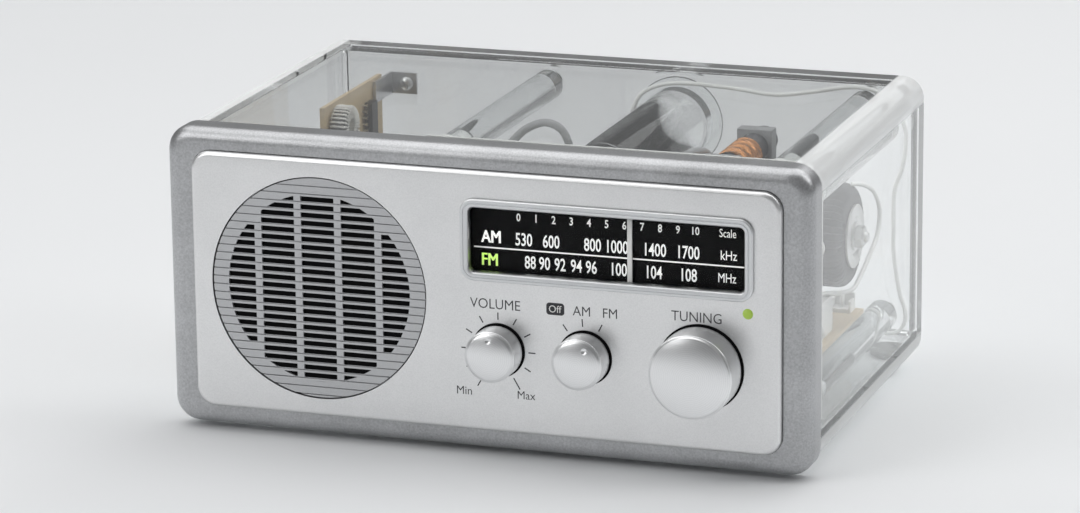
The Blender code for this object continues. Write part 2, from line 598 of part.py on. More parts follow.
def loudspeaker():
    outlines = [circle(GRILLE_RADIUS, GRILLE_X, 0, 48)]
    rows = int(GRILLE_OPEN_RADIUS / SLAT_PITCH)
    ribs = [RIB_PITCH * (k - (RIB_COUNT - 1) / 2) for k in range(RIB_COUNT)]
    for row in range(-rows, rows + 1):
        z = row * SLAT_PITCH
        half = math.sqrt(max(GRILLE_OPEN_RADIUS ** 2 - (abs(z) + SLOT_HEIGHT / 2) ** 2, 0))
        edges = [-half, *ribs, half]
        for k, (a, b) in enumerate(zip(edges, edges[1:])):
            left = max(a + (RIB_WIDTH / 2 if k > 0 else 0), -half)
            right = min(b - (RIB_WIDTH / 2 if k < RIB_COUNT else 0), half)
            if right - left > SHORTEST_SLOT:
                outlines.append(box_outline(GRILLE_X + left, GRILLE_X + right, z - SLOT_HEIGHT / 2,
                                            z + SLOT_HEIGHT / 2))
    plate("speaker_grille", outlines, GAP, PLATE_THICKNESS, SILVER)
    plate("grille_cloth", [circle(CLOTH_RADIUS, GRILLE_X, 0)], SEAT, SEAT + CLOTH_THICKNESS, BLACK)
    centre = place(GRILLE_X, 0, 0)

    basket = bmesh.new()
    flange_back = SPEAKER_FRONT + BASKET_SHEET
    floor_front = BASKET_BACK - BASKET_SHEET
    turned(basket, [(BASKET_MOUTH, SPEAKER_FRONT), (BASKET_RADIUS, SPEAKER_FRONT),
                    (BASKET_RADIUS, flange_back), (BASKET_MOUTH, flange_back),
                    (BASKET_BACK_RADIUS, floor_front),
                    (BASKET_BACK_RADIUS, BASKET_BACK), (MAGNET_HOLE, BASKET_BACK), (MAGNET_HOLE, floor_front),
                    (BASKET_BACK_RADIUS - BASKET_SHEET, floor_front),
                    (BASKET_MOUTH - BASKET_SHEET, flange_back)], centre, sides=32, closed=True)
    frame = piece("speaker_basket", basket, STEEL)
    cutters = bmesh.new()
    window = (SPEAKER_FRONT + 3 * BASKET_SHEET, BASKET_BACK - 2 * BASKET_SHEET)
    reach = 1.5 * BASKET_RADIUS
    half = BASKET_WINDOW / 2
    block(cutters, (GRILLE_X - reach, GRILLE_X + reach), window, (-half, half))
    boolean(frame, piece("basket_windows_x", cutters, STEEL), "DIFFERENCE")
    cutters = bmesh.new()
    block(cutters, (GRILLE_X - half, GRILLE_X + half), window, (-reach, reach))
    boolean(frame, piece("basket_windows_z", cutters, STEEL), "DIFFERENCE")

    roll = bmesh.new()
    inner = CONE_RADIUS + GAP
    outer = BASKET_MOUTH - BASKET_SHEET - GAP
    roll_back = SPEAKER_FRONT + BASKET_SHEET
    roll_front = roll_back - BASKET_SHEET / 2
    turned(roll, [(inner, roll_front), ((inner + outer) / 2, SPEAKER_FRONT + GAP), (outer, roll_front),
                  (outer, roll_back), (inner, roll_back)], centre, sides=32, closed=True)
    piece("speaker_surround", roll, BLACK)

    cone = bmesh.new()
    rim = SPEAKER_FRONT + BASKET_SHEET / 2 + CONE_TRAVEL
    throat = BASKET_BACK - 3 * BASKET_SHEET
    thick = CONE_SHEET
    neck = COIL_RADIUS + thick
    coil_end = MAGNET_FRONT + 0.6 * MAGNET_DEPTH
    turned(cone, [(0, throat - CAP_HEIGHT - thick), (0.6 * COIL_RADIUS, throat - CAP_HEIGHT),
                  (neck, throat - thick), (CONE_RADIUS, rim), (CONE_RADIUS, rim + thick),
                  (neck, throat + thick), (COIL_RADIUS, throat + thick), (COIL_RADIUS, coil_end),
                  (COIL_RADIUS - thick, coil_end), (COIL_RADIUS - thick, throat),
                  (0, throat - CAP_HEIGHT)], centre, sides=32)
    piece("speaker_cone", cone, BLACK, centre)

    magnet = bmesh.new()
    magnet_back = YOKE_FRONT - GAP
    turned(magnet, [(MAGNET_HOLE, MAGNET_FRONT), (MAGNET_RADIUS, MAGNET_FRONT), (MAGNET_RADIUS, magnet_back),
                    (MAGNET_HOLE, magnet_back)], centre, sides=32, closed=True)
    piece("speaker_magnet", magnet, BLACK)
    yoke = bmesh.new()
    yoke_radius = MAGNET_RADIUS - YOKE_STEP
    yoke_back = YOKE_FRONT + YOKE_THICKNESS
    turned(yoke, [(0, MAGNET_FRONT), (POLE_RADIUS, MAGNET_FRONT), (POLE_RADIUS, YOKE_FRONT),
                  (yoke_radius, YOKE_FRONT), (yoke_radius, yoke_back), (0, yoke_back)], centre, sides=32)
    piece("speaker_yoke", yoke, STEEL)


def dial():
    rim = bmesh.new()
    centre = (DIAL_X, DIAL_Z)
    edge = RIM_PROUD / 2
    rim_front = -RIM_PROUD - GAP
    sleeve_back = PLATE_THICKNESS - GAP
    outer = [(DIAL_RIM - edge, rim_front), (DIAL_RIM, rim_front + edge), (DIAL_RIM, -GAP), (DIAL_LIP, -GAP),
             (DIAL_LIP, sleeve_back), (0, sleeve_back), (0, rim_front)]
    loops = []
    for margin, depth in outer:
        outline = rounded(DIAL_WIDTH + 2 * margin, DIAL_HEIGHT + 2 * margin, DIAL_RADIUS + margin, *centre)
        loops.append([rim.verts.new(place(x, depth, z)) for x, z in outline])
    for a, b in zip(loops, [*loops[1:], loops[0]]):
        for i in range(len(a)):
            j = (i + 1) % len(a)
            rim.faces.new((a[i], a[j], b[j], b[i]))
    piece("dial_frame", rim, ALUMINIUM)
    lens = rounded(DIAL_WIDTH - 2 * GAP, DIAL_HEIGHT - 2 * GAP, DIAL_RADIUS, *centre)
    plate("dial_lens", [lens], GAP, GAP + LENS_THICKNESS, CLEAR)
    scale = rounded(SCALE_WIDTH, SCALE_HEIGHT, SCALE_RADIUS, *centre, 2)
    plate("dial_scale", [scale], SCALE_FRONT, SCALE_FRONT + SCALE_THICKNESS, BLACK)
    tab = TAB_WIDTH / 2
    low = DIAL_Z - SCALE_HEIGHT / 2
    foot = low - TAB_DROP
    left = DIAL_X - SCALE_WIDTH / 2
    right = DIAL_X + SCALE_WIDTH / 2
    top = DIAL_Z + SCALE_HEIGHT / 2
    outline = [(left, top), (left, low)]
    for x in TABS_X:
        outline += [(x - tab, low), (x - tab, foot), (x + tab, foot), (x + tab, low)]
    outline += [(right, low), (right, top)]
    plate("scale_backing", [outline], BACKING_FRONT, BACKING_FRONT + BACKING_THICKNESS, STEEL)

    rail_left = IDLER_LEFT_X - RAIL_LEFT_STEP
    rail_right = IDLER_RIGHT_X - RAIL_RIGHT_STEP
    root = CHASSIS_DEPTH - GAP
    bends = [(rail_left, root), (rail_left, RAIL_DEPTH), (rail_right, RAIL_DEPTH), (rail_right, root)]
    wire("pointer_rail", [place(x, depth, RAIL_Z) for x, depth in bends], RAIL_RADIUS, STEEL)
    pointer()


def pointer():
    front_face = (PLATE_THICKNESS + SCALE_FRONT - POINTER_THICKNESS) / 2
    back_face = front_face + POINTER_THICKNESS
    bottom = DIAL_Z - DIAL_HEIGHT / 2 - SCALE_OVERLAP / 3
    arm_low = RAIL_Z - RAIL_RADIUS + GAP / 3
    arm_top = RAIL_Z + RAIL_RADIUS - GAP / 3
    carriage_front = RAIL_DEPTH - CARRIAGE_HALF_DEPTH
    carriage_back = RAIL_DEPTH + CARRIAGE_HALF_DEPTH
    arm_back = carriage_front + POINTER_THICKNESS
    half = POINTER_WIDTH / 2
    side = [(front_face, bottom), (back_face, bottom), (back_face, arm_low), (arm_back, arm_low),
            (arm_back, arm_top), (front_face, arm_top)]
    bm = bmesh.new()
    loft(bm, [[place(x, depth, z) for depth, z in side] for x in (POINTER_X - half, POINTER_X + half)])
    body = piece("dial_pointer", bm, WHITE, place(POINTER_X, RAIL_DEPTH, RAIL_Z))
    bm = bmesh.new()
    reach = CARRIAGE_HALF_WIDTH
    block(bm, (POINTER_X - reach, POINTER_X + reach), (carriage_front, carriage_back),
          (RAIL_Z - CARRIAGE_HALF_HEIGHT, RAIL_Z + CARRIAGE_HALF_HEIGHT))
    boolean(body, piece("pointer_carriage", bm, WHITE), "UNION")
    bm = bmesh.new()
    cord_top = IDLER_Z + IDLER_PITCH_RADIUS + CORD_RADIUS + GAP
    block(bm, (POINTER_X - CLIP_HALF_WIDTH, POINTER_X + CLIP_HALF_WIDTH),
          (carriage_back - CORD_RADIUS, CORD_DEPTH + 2 * CORD_RADIUS), (cord_top, RAIL_Z - CORD_RADIUS))
    boolean(body, piece("pointer_clip", bm, WHITE), "UNION")
    bm = bmesh.new()
    rod(bm, RAIL_RADIUS + GAP, place(POINTER_X, RAIL_DEPTH, RAIL_Z), -2 * reach, 2 * reach, "x")
    boolean(body, piece("pointer_bore", bm, WHITE), "DIFFERENCE")


def knob(name, x, radius, length, dimple_angle=None):
    centre = place(x, 0, CONTROL_Z)
    back = -KNOB_LIFT
    face = back - length
    bore_end = face + KNOB_WALL
    bm = bmesh.new()
    rim = face + KNOB_DOME
    edge = KNOB_EDGE
    turned(bm, [(0, bore_end), (BORE, bore_end), (BORE, back), (radius - KNOB_FOOT, back),
                (radius, back - KNOB_FOOT), (radius, rim + edge), (radius - 0.3 * edge, rim + 0.3 * edge),
                (radius - edge, rim), (0.6 * radius, face + 0.3 * KNOB_DOME), (0, face)], centre, sides=32)
    body = piece(name, bm, ALUMINIUM, centre)
    if dimple_angle is not None:
        reach = 0.7 * radius
        bm = bmesh.new()
        spot = place(x + reach * math.sin(dimple_angle), face - DIMPLE_LIFT,
                     CONTROL_Z + reach * math.cos(dimple_angle))
        steps = 6
        arc = [(DIMPLE_RADIUS * math.sin(math.pi * k / steps), -DIMPLE_RADIUS * math.cos(math.pi * k / steps))
               for k in range(1, steps)]
        arc = [(0, -DIMPLE_RADIUS), *arc, (0, DIMPLE_RADIUS)]
        turned(bm, arc, spot, sides=12)
        boolean(body, piece(name + "_dimple", bm, ALUMINIUM), "DIFFERENCE")
    return bore_end + GAP


def controls():
    angles = {"volume": 0.0, "band": math.radians(BAND_REST)}
    sizes = {"volume": (VOLUME_X, POT_RADIUS, POT_DEPTH), "band": (BAND_X, SWITCH_RADIUS, SWITCH_DEPTH)}
    names = {"volume": "volume_pot", "band": "band_switch"}
    blind = SEAT + SPINDLE_SEAT
    for control, (x, radius, depth) in sizes.items():
        shaft_front = knob(control + "_knob", x, KNOB_RADIUS, KNOB_LENGTH, angles[control])
        centre = place(x, 0, CONTROL_Z)
        bm = bmesh.new()
        rod(bm, SPINDLE_RADIUS, centre, shaft_front, blind - GAP, sides=20)
        piece(control + "_spindle", bm, STEEL, centre)
        bm = bmesh.new()
        turned(bm, [(0, blind), (BORE, blind), (BORE, BUSH_FRONT), (BUSH_RADIUS, BUSH_FRONT),
                    (BUSH_RADIUS, SEAT), (radius, SEAT), (radius, SEAT + depth), (0, SEAT + depth)], centre,
               sides=24)
        piece(names[control], bm, STEEL)
    shaft_front = knob("tuning_knob", TUNING_X, TUNING_RADIUS, TUNING_LENGTH)
    centre = place(TUNING_X, 0, CONTROL_Z)
    bm = bmesh.new()
    rod(bm, SPINDLE_RADIUS, centre, shaft_front, CHASSIS_BACK + SHAFT_TAIL, sides=20)
    piece("tuning_shaft", bm, STEEL, centre)
    bm = bmesh.new()
    collar = BUSH_RADIUS + BUSH_COLLAR
    collar_back = SEAT + BUSH_COLLAR
    turned(bm, [(BORE, BUSH_FRONT), (BUSH_RADIUS, BUSH_FRONT), (BUSH_RADIUS, SEAT), (collar, SEAT),
                (collar, collar_back), (BORE, collar_back)], centre, sides=24, closed=True)
    piece("tuning_bush", bm, COPPER)


def cord_loop(wheels):
    """A belt run clockwise round wheels given as (x, z, radius)."""
    points = []
    count = len(wheels)
    normals = []
    for k in range(count):
        x0, z0, r0 = wheels[k]
        x1, z1, r1 = wheels[(k + 1) % count]
        span = math.hypot(x1 - x0, z1 - z0)
        normals.append(math.atan2(z1 - z0, x1 - x0) + math.acos((r0 - r1) / span))
    for k, (x, z, radius) in enumerate(wheels):
        start = normals[k - 1]
        turn = (start - normals[k]) % (2 * math.pi)
        steps = max(2, round(turn / math.radians(18)))
        for i in range(steps + 1):
            angle = start - turn * i / steps
            points.append(place(x + radius * math.cos(angle), CORD_DEPTH, z + radius * math.sin(angle)))
    return points


def dial_drive():
    top = ROOM_HALF_HEIGHT - CHASSIS_EDGE
    left = ROD_LEFT_X - SOCKET_RADIUS - CHASSIS_EDGE
    outline = box_outline(left, ROOM_HALF_WIDTH - CHASSIS_EDGE, -top, top)
    bm = bmesh.new()
    slab(bm, outline, CHASSIS_DEPTH, CHASSIS_DEPTH + CHASSIS_SHEET)
    chassis = piece("tuner_chassis", bm, WHITE)
    bm = bmesh.new()
    for x, z in ((TUNING_X, CONTROL_Z), (DRUM_X, DRUM_Z)):
        rod(bm, BORE, place(x, CHASSIS_DEPTH, z), -CHASSIS_SHEET, 2 * CHASSIS_SHEET, sides=20)
    boolean(chassis, piece("shaft_holes", bm, WHITE), "DIFFERENCE")
    root = CHASSIS_DEPTH + CHASSIS_SHEET / 2
    bm = bmesh.new()
    for x, z in POSTS:
        rod(bm, POST_RADIUS, place(x, 0, z), SEAT, root, sides=8)
    head = CORD_DEPTH - DRUM_WIDTH / 2 - GAP
    for x in (IDLER_LEFT_X, IDLER_RIGHT_X):
        turned(bm, [(0, head - IDLER_HEAD), (2 * IDLER_PIN, head - IDLER_HEAD), (2 * IDLER_PIN, head),
                    (IDLER_PIN, head), (IDLER_PIN, root), (0, root)], place(x, 0, IDLER_Z), sides=12)
    for x, z in RODS:
        collar = ROD_RADIUS + SOCKET_COLLAR
        socket_end = ROD_START + SOCKET_REACH
        turned(bm, [(0, root), (collar, root), (collar, ROD_START - GAP), (SOCKET_RADIUS, ROD_START - GAP),
                    (SOCKET_RADIUS, socket_end), (0, socket_end)], place(x, 0, z), sides=16)
    boolean(chassis, piece("posts_and_sockets", bm, WHITE), "UNION")

    centre = place(DRUM_X, CORD_DEPTH, DRUM_Z)
    case_front = CHASSIS_BACK
    shaft_end = case_front + DRUM_SPINDLE
    bm = bmesh.new()
    half = DRUM_WIDTH / 2
    groove = GROOVE_WIDTH / 2
    floor = DRUM_PITCH_RADIUS - CORD_SEAT
    edge = DRUM_PITCH_RADIUS + FLANGE_REACH
    tail = shaft_end - CORD_DEPTH
    turned(bm, [(0, -half), (edge, -half), (edge, -groove), (floor, -groove), (floor, groove), (edge, groove),
                (edge, half), (SPINDLE_RADIUS, half), (SPINDLE_RADIUS, tail), (0, tail)], centre, sides=40)
    piece("dial_drum", bm, GREY, centre)
    bm = bmesh.new()
    side = CAPACITOR_SIDE / 2
    block(bm, (DRUM_X - side, DRUM_X + side), (case_front, case_front + CAPACITOR_DEPTH),
          (DRUM_Z - side, DRUM_Z + side))
    case = piece("tuning_capacitor", bm, WHITE)
    bm = bmesh.new()
    rod(bm, BORE, place(DRUM_X, 0, DRUM_Z), CHASSIS_DEPTH, shaft_end + GAP, sides=20)
    boolean(case, piece("capacitor_bore", bm, WHITE), "DIFFERENCE")

    floor = IDLER_PITCH_RADIUS - CORD_SEAT
    edge = IDLER_PITCH_RADIUS + FLANGE_REACH
    bore = IDLER_PIN + GAP
    for name, x in (("idler_left", IDLER_LEFT_X), ("idler_right", IDLER_RIGHT_X)):
        centre = place(x, CORD_DEPTH, IDLER_Z)
        bm = bmesh.new()
        turned(bm, [(bore, -half), (edge, -half), (edge, -groove), (floor, -groove), (floor, groove),
                    (edge, groove), (edge, half), (bore, half)], centre, sides=16, closed=True)
        piece(name, bm, WHITE, centre)
    wheels = [(IDLER_LEFT_X, IDLER_Z, IDLER_PITCH_RADIUS), (IDLER_RIGHT_X, IDLER_Z, IDLER_PITCH_RADIUS),
              (TUNING_X, CONTROL_Z, WRAP_RADIUS), (DRUM_X, DRUM_Z, DRUM_PITCH_RADIUS)]
    wire("dial_cord", cord_loop(wheels), CORD_RADIUS, BLACK, cyclic=True)


def rods_and_port():
    bore = SOCKET_RADIUS + GAP
    blind = ROD_START + SOCKET_REACH + GAP
    for x, z in RODS:
        across = "left" if x < 0 else "right"
        along = "upper" if z > 0 else "lower"
        bm = bmesh.new()
        turned(bm, [(0, blind), (bore, blind), (bore, ROD_START), (ROD_RADIUS, ROD_START),
                    (ROD_RADIUS, PANEL_FACE - GAP), (0, PANEL_FACE - GAP)], place(x, 0, z), sides=16)
        piece(f"tie_rod_{along}_{across}", bm, CLEAR)
    bm = bmesh.new()
    lip = TUBE_END + GAP
    lip_back = lip + PORT_LIP_THICKNESS
    inside = PORT_RADIUS - PORT_WALL
    outside = PORT_RADIUS + PORT_LIP
    mouth = lip_back - PORT_LENGTH
    turned(bm, [(inside, mouth), (PORT_RADIUS, mouth), (PORT_RADIUS, lip), (outside, lip),
                (outside, lip_back - PORT_LIP_EDGE), (outside - PORT_LIP_EDGE, lip_back),
                (inside + PORT_FLARE, lip_back), (inside, lip - PORT_LIP_EDGE)], place(PORT_X, 0, PORT_Z),
           sides=32, closed=True)
    piece("port_tube", bm, CLEAR)


def rear_fittings():
    width, height, thick = JACK_PLATE
    start = TUBE_END + GAP
    face = start + thick + GAP
    holes = [circle(JACK_RADIUS + GAP, x, JACK_Z, 16) for x in JACKS_X]
    wide, tall = INLET_SIZE[0] + 2 * GAP, INLET_SIZE[1] + 2 * GAP
    holes.append(rounded(wide, tall, INLET_HOLE_RADIUS, INLET_X, JACK_Z, 2))
    edge = rounded(width, height, JACK_PLATE_RADIUS, JACK_X, JACK_Z, 4)
    plate("jack_plate", [edge, *holes], start, start + thick, BLACK)
    bm = bmesh.new()
    inside = face - INLET_DEPTH
    wide = JACK_PITCH + JACK_STRIP
    block(bm, (JACKS_X[1] - wide, JACKS_X[1] + wide), (inside, start - GAP),
          (JACK_Z - JACK_STRIP, JACK_Z + JACK_STRIP))
    strip = piece("jack_block", bm, BLACK)
    barrels = bmesh.new()
    bores = bmesh.new()
    for x in JACKS_X:
        centre = place(x, 0, JACK_Z)
        rod(barrels, JACK_RADIUS, centre, inside + JACK_NOSE, face + JACK_NOSE)
        rod(bores, JACK_BORE, centre, inside + JACK_FLOOR, face + JACK_FLOOR)
    boolean(strip, piece("jack_barrels", barrels, BLACK), "UNION")
    boolean(strip, piece("jack_bores", bores, BLACK), "DIFFERENCE")
    bm = bmesh.new()
    wide, tall = (side + 2 * INLET_FLANGE for side in INLET_SIZE)
    slab(bm, rounded(wide, tall, INLET_FLANGE_RADIUS, INLET_X, JACK_Z, 2), face, face + INLET_LIP)
    inlet = piece("mains_inlet", bm, BLACK)
    bm = bmesh.new()
    wide, tall = (side / 2 for side in INLET_SIZE)
    block(bm, (INLET_X - wide, INLET_X + wide), (inside, face + INLET_LIP / 2),
          (JACK_Z - tall, JACK_Z + tall))
    boolean(inlet, piece("inlet_body", bm, BLACK), "UNION")
    bm = bmesh.new()
    wide, tall = (side - 2 * INLET_WALL for side in INLET_SIZE)
    slab(bm, rounded(wide, tall, INLET_RECESS_RADIUS, INLET_X, JACK_Z, 4), inside + INLET_FLOOR,
         face + 2 * INLET_LIP)
    boolean(inlet, piece("inlet_recess", bm, BLACK), "DIFFERENCE")


def main_board():
    low, high = BOARD_TOP - BOARD_SHEET, BOARD_TOP
    bm = bmesh.new()
    block(bm, BOARD_X, BOARD_DEPTH, (low, high))
    piece("main_board", bm, BOARD)
    front_wall, back_wall = BOARD_DEPTH[0] + STAND_INSET, BOARD_DEPTH[1] - STAND_INSET
    top = low - GAP
    base = FLOOR + STAND_SHEET
    front_bend, back_bend = front_wall + STAND_SHEET, back_wall - STAND_SHEET
    profile = [(front_wall, FLOOR), (back_wall, FLOOR), (back_wall, top), (back_bend, top), (back_bend, base),
               (front_bend, base), (front_bend, top), (front_wall, top)]
    bm = bmesh.new()
    ends = (BOARD_X[0] + STAND_ENDS[0], BOARD_X[1] - STAND_ENDS[1])
    loft(bm, [[place(x, depth, z) for depth, z in profile] for x in ends])
    piece("board_stand", bm, STEEL)
    right = BOARD_X[1] - BLOCK_SIDE_GAP
    near = TOROID_DEPTH - BLOCK_BEFORE_TOROID
    wide, deep, tall = BLOCK_SIZE
    bm = bmesh.new()
    block(bm, (right - wide, right), (near, near + deep), (BOARD_SEAT, BOARD_SEAT + tall))
    piece("white_block", bm, WHITE)


def transformer():
    sheet = CHASSIS_SHEET
    right = TOROID_X - GAP
    seat = BOARD_SEAT
    left = right - BRACKET_FOOT
    half = TOROID_RADIUS - BRACKET_MARGIN
    top = TOROID_Z + half
    bm = bmesh.new()
    outline = [(left, seat), (right, seat), (right, top), (right - sheet, top), (right - sheet, seat + sheet),
               (left, seat + sheet)]
    slab(bm, outline, TOROID_DEPTH - half, TOROID_DEPTH + half)
    piece("transformer_bracket", bm, STEEL)
    bm = bmesh.new()
    corner = TOROID_CORNER
    profile = []
    half = TOROID_WIDTH / 2
    for k, (radius, side) in enumerate(((TOROID_RADIUS - corner, 1), (TOROID_HOLE + corner, 1),
                                        (TOROID_HOLE + corner, -1), (TOROID_RADIUS - corner, -1))):
        for i in range(3):
            angle = math.pi / 2 * (k + i / 2)
            centre = half + side * (half - corner)
            profile.append((radius + corner * math.cos(angle), centre + corner * math.sin(angle)))
    turned(bm, profile, place(TOROID_X, TOROID_DEPTH, TOROID_Z), "x", 28, closed=True)
    piece("mains_transformer", bm, BLACK)


def amplifier_board():
    face = AMP_X + BOARD_SHEET
    bm = bmesh.new()
    block(bm, (AMP_X, face), AMP_DEPTH, (FLOOR, AMP_TOP))
    piece("amp_board", bm, BOARD)
    bm = bmesh.new()
    hole, edge, outer, wide = CHOKE_HOLE, CHOKE_EDGE, CHOKE_RADIUS, CHOKE_WIDTH
    centre = place(face + GAP, AMP_DEPTH[0] + CHOKE_INSET[0], AMP_TOP - CHOKE_INSET[1])
    turned(bm, [(hole + edge, 0), (outer - edge, 0), (outer, edge), (outer, wide - edge),
                (outer - edge, wide), (hole + edge, wide), (hole, wide - edge), (hole, edge)],
           centre, "x", 20, closed=True)
    piece("choke_coil", bm, WHITE)
    near = face + GAP
    far = near + AMP_BRACKET_REACH
    bend = near + AMP_BRACKET_SHEET
    front_end = AMP_DEPTH[1] - AMP_BRACKET_OVERLAP
    back = PANEL_FACE - GAP
    flange = back - AMP_BRACKET_SHEET
    outline = [(near, front_end), (bend, front_end), (bend, flange), (far, flange), (far, back), (near, back)]
    band = [AMP_TOP - step for step in AMP_BRACKET_BAND]
    bm = bmesh.new()
    loft(bm, [[place(x, depth, z) for x, depth in outline] for z in band])
    piece("amp_bracket", bm, STEEL)


def ferrite_aerial():
    arm_wide, arm_thick = HOLDER_ARM
    foot_wide, foot_thick, foot_tall = HOLDER_FOOT
    low = FERRITE_Z - FERRITE_RADIUS - HOLDER_DROP
    front_saddle = FERRITE_DEPTH[0] + SADDLE_INSETS[0]
    back_saddle = FERRITE_DEPTH[1] - SADDLE_INSETS[1] - SADDLE_WIDTH
    bm = bmesh.new()
    block(bm, (FERRITE_X - arm_wide / 2, FERRITE_X + arm_wide / 2),
          (CHASSIS_BACK, FERRITE_DEPTH[1] - HOLDER_END), (low, low + arm_thick))
    holder = piece("ferrite_holder", bm, GREY)
    parts = [("holder_foot", (FERRITE_X - foot_wide / 2, FERRITE_X + foot_wide / 2),
              (CHASSIS_BACK, CHASSIS_BACK + foot_thick), (low - foot_tall / 2, low + foot_tall / 2))]
    saddle = FERRITE_RADIUS + SADDLE_WALL
    for name, start in (("saddle_front", front_saddle), ("saddle_back", back_saddle)):
        parts.append((name, (FERRITE_X - saddle, FERRITE_X + saddle), (start, start + SADDLE_WIDTH),
                      (low + arm_thick / 2, FERRITE_Z + saddle)))
    for name, *sides in parts:
        bm = bmesh.new()
        block(bm, *sides)
        boolean(holder, piece(name, bm, GREY), "UNION")
    bm = bmesh.new()
    centre = place(FERRITE_X, 0, FERRITE_Z)
    rod(bm, FERRITE_RADIUS + GAP, centre, FERRITE_DEPTH[0], FERRITE_DEPTH[1], sides=24)
    boolean(holder, piece("holder_bore", bm, GREY), "DIFFERENCE")
    bm = bmesh.new()
    rod(bm, FERRITE_RADIUS, centre, *FERRITE_DEPTH, sides=24)
    piece("ferrite_bar", bm, BLACK)
    bm = bmesh.new()
    start = front_saddle + SADDLE_WIDTH + WINDING_GAPS[0]
    end = back_saddle - WINDING_GAPS[1]
    inner = FERRITE_RADIUS + GAP
    outer = inner + WINDING_BUILD
    turned(bm, [(inner, start), (outer, start), (outer, end), (inner, end)], centre, sides=24, closed=True)
    piece("ferrite_coil", bm, COPPER)


def wires():
    aerial = [(7.6, 25.4), (11.6, 34.4), (20, 39), (31.5, 40.2), (49, 39.4), (64.6, 38.1), (80, 40.4),
              (91, 42.6), (98.5, 42.9), (104.6, 41), (107, 35), (107, 28), (105.7, 20.6), (103, 12),
              (102.8, -2.6), (103, -12.3), (105.1, -25.6), (107.4, -33), (107.3, -38), (104.2, -42),
              (98.5, -42.9)]
    depth = PANEL_FACE - AERIAL_RADIUS - GAP
    route = [place(x * mm, depth, z * mm) for x, z in aerial]
    tail = [(91.2, 146, -42.4), (90.2, 138, -40), (89.6, 128, -33), (90, 121, -23), (92, 116, -19),
            (93, 112, -20.5), (93.2, 111, -24.2)]
    route += [place(x * mm, y * mm, z * mm) for x, y, z in tail]
    wire("aerial_wire", smooth(route, 2), AERIAL_RADIUS, WHITE)
    lead = [(-42.7, 36, 18.5), (-39, 48, 21), (-33, 62, 21.5), (-24, 73, 24.5), (-16, 75, 30), (-9, 75, 36.5),
            (-1.3, 75, 39.6), (5, 75.5, 37), (7.6, 77, 29), (7.2, 80, 18), (7.5, 86, 4), (11, 92, -10),
            (19, 96, -17), (23.5, 97.5, -20.5), (24, 98, -24.2)]
    wire("speaker_lead", smooth([place(x * mm, y * mm, z * mm) for x, y, z in lead], 2), LEAD_RADIUS, GREY)
    cable = [(48, 35.8, 20), (48.5, 39, 21), (51, 46, 28), (56, 58, 34.5), (60, 70, 34), (60.5, 80, 26),
             (58.5, 87, 12), (57, 90, -4), (56.5, 90.5, -16), (56.5, 90.5, -24.2)]
    wire("control_cable", smooth([place(x * mm, y * mm, z * mm) for x, y, z in cable], 2), CABLE_RADIUS, GREY)


cabinet()
front()
loudspeaker()
dial()
controls()
dial_drive()
rods_and_port()
rear_fittings()
main_board()
transformer()
amplifier_board()
ferrite_aerial()
wires()
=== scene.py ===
# %% [markdown]
# # A clear-cased table radio
#
# The radio is a thick acrylic tube between a silver front and a clear back, so nearly every piece inside it
# shows. The solid parts arrive as a fixed frame with real sizes and joints. This lesson dresses that frame:
# round pieces are modelled again with fine edges, small repeated pieces are grown with Geometry Nodes, and
# every surface gets a finish made of nodes.

# %% Load the frame
import json
import math

import bmesh
import bpy
from mathutils import Matrix, Vector


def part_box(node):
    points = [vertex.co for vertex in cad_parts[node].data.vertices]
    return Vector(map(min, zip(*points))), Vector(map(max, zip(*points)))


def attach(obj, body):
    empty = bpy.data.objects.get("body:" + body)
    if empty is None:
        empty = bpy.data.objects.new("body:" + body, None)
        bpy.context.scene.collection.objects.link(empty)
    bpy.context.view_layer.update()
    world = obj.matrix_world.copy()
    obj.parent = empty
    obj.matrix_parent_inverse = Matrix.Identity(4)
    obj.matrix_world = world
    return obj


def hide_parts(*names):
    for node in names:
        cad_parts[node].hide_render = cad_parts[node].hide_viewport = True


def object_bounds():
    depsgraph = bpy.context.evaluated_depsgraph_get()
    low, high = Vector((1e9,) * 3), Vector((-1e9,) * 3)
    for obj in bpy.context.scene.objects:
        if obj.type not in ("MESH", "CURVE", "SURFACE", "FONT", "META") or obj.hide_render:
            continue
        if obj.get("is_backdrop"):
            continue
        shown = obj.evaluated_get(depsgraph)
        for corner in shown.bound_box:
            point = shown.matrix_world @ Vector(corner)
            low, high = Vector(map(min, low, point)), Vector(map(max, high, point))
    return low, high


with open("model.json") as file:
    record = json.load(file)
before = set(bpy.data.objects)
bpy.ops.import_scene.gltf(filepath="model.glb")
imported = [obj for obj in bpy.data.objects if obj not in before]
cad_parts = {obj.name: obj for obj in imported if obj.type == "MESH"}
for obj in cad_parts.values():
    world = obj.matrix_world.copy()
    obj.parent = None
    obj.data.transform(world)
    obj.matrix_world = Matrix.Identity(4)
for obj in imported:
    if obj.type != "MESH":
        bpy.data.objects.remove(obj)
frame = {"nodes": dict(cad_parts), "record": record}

cad_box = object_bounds()

# %% [markdown]
# ## One way to say where things are
#
# A maker measures a front panel from its middle: so many millimetres to the right, so many behind the face
# of the plate, so many up. The function `at` turns such a place into the frame's metres. Its two anchors
# are read from the solid plate and moulding, so that nothing here has to be fitted by eye.

# %% Places on the radio
mm = 0.001
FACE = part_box("front_plate")[0].y
MID = sum(corner.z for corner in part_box("front_bezel")) / 2


def at(x, depth, height):
    """A place in metres, from millimetres right of, behind and above the middle of the plate's face."""
    return Vector((x * mm, FACE + depth * mm, MID + height * mm))


def sizes(node):
    """A solid's lowest and highest corner, as millimetres in the same measure as `at` takes."""
    low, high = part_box(node)
    return [(p.x / mm, (p.y - FACE) / mm, (p.z - MID) / mm) for p in (low, high)]


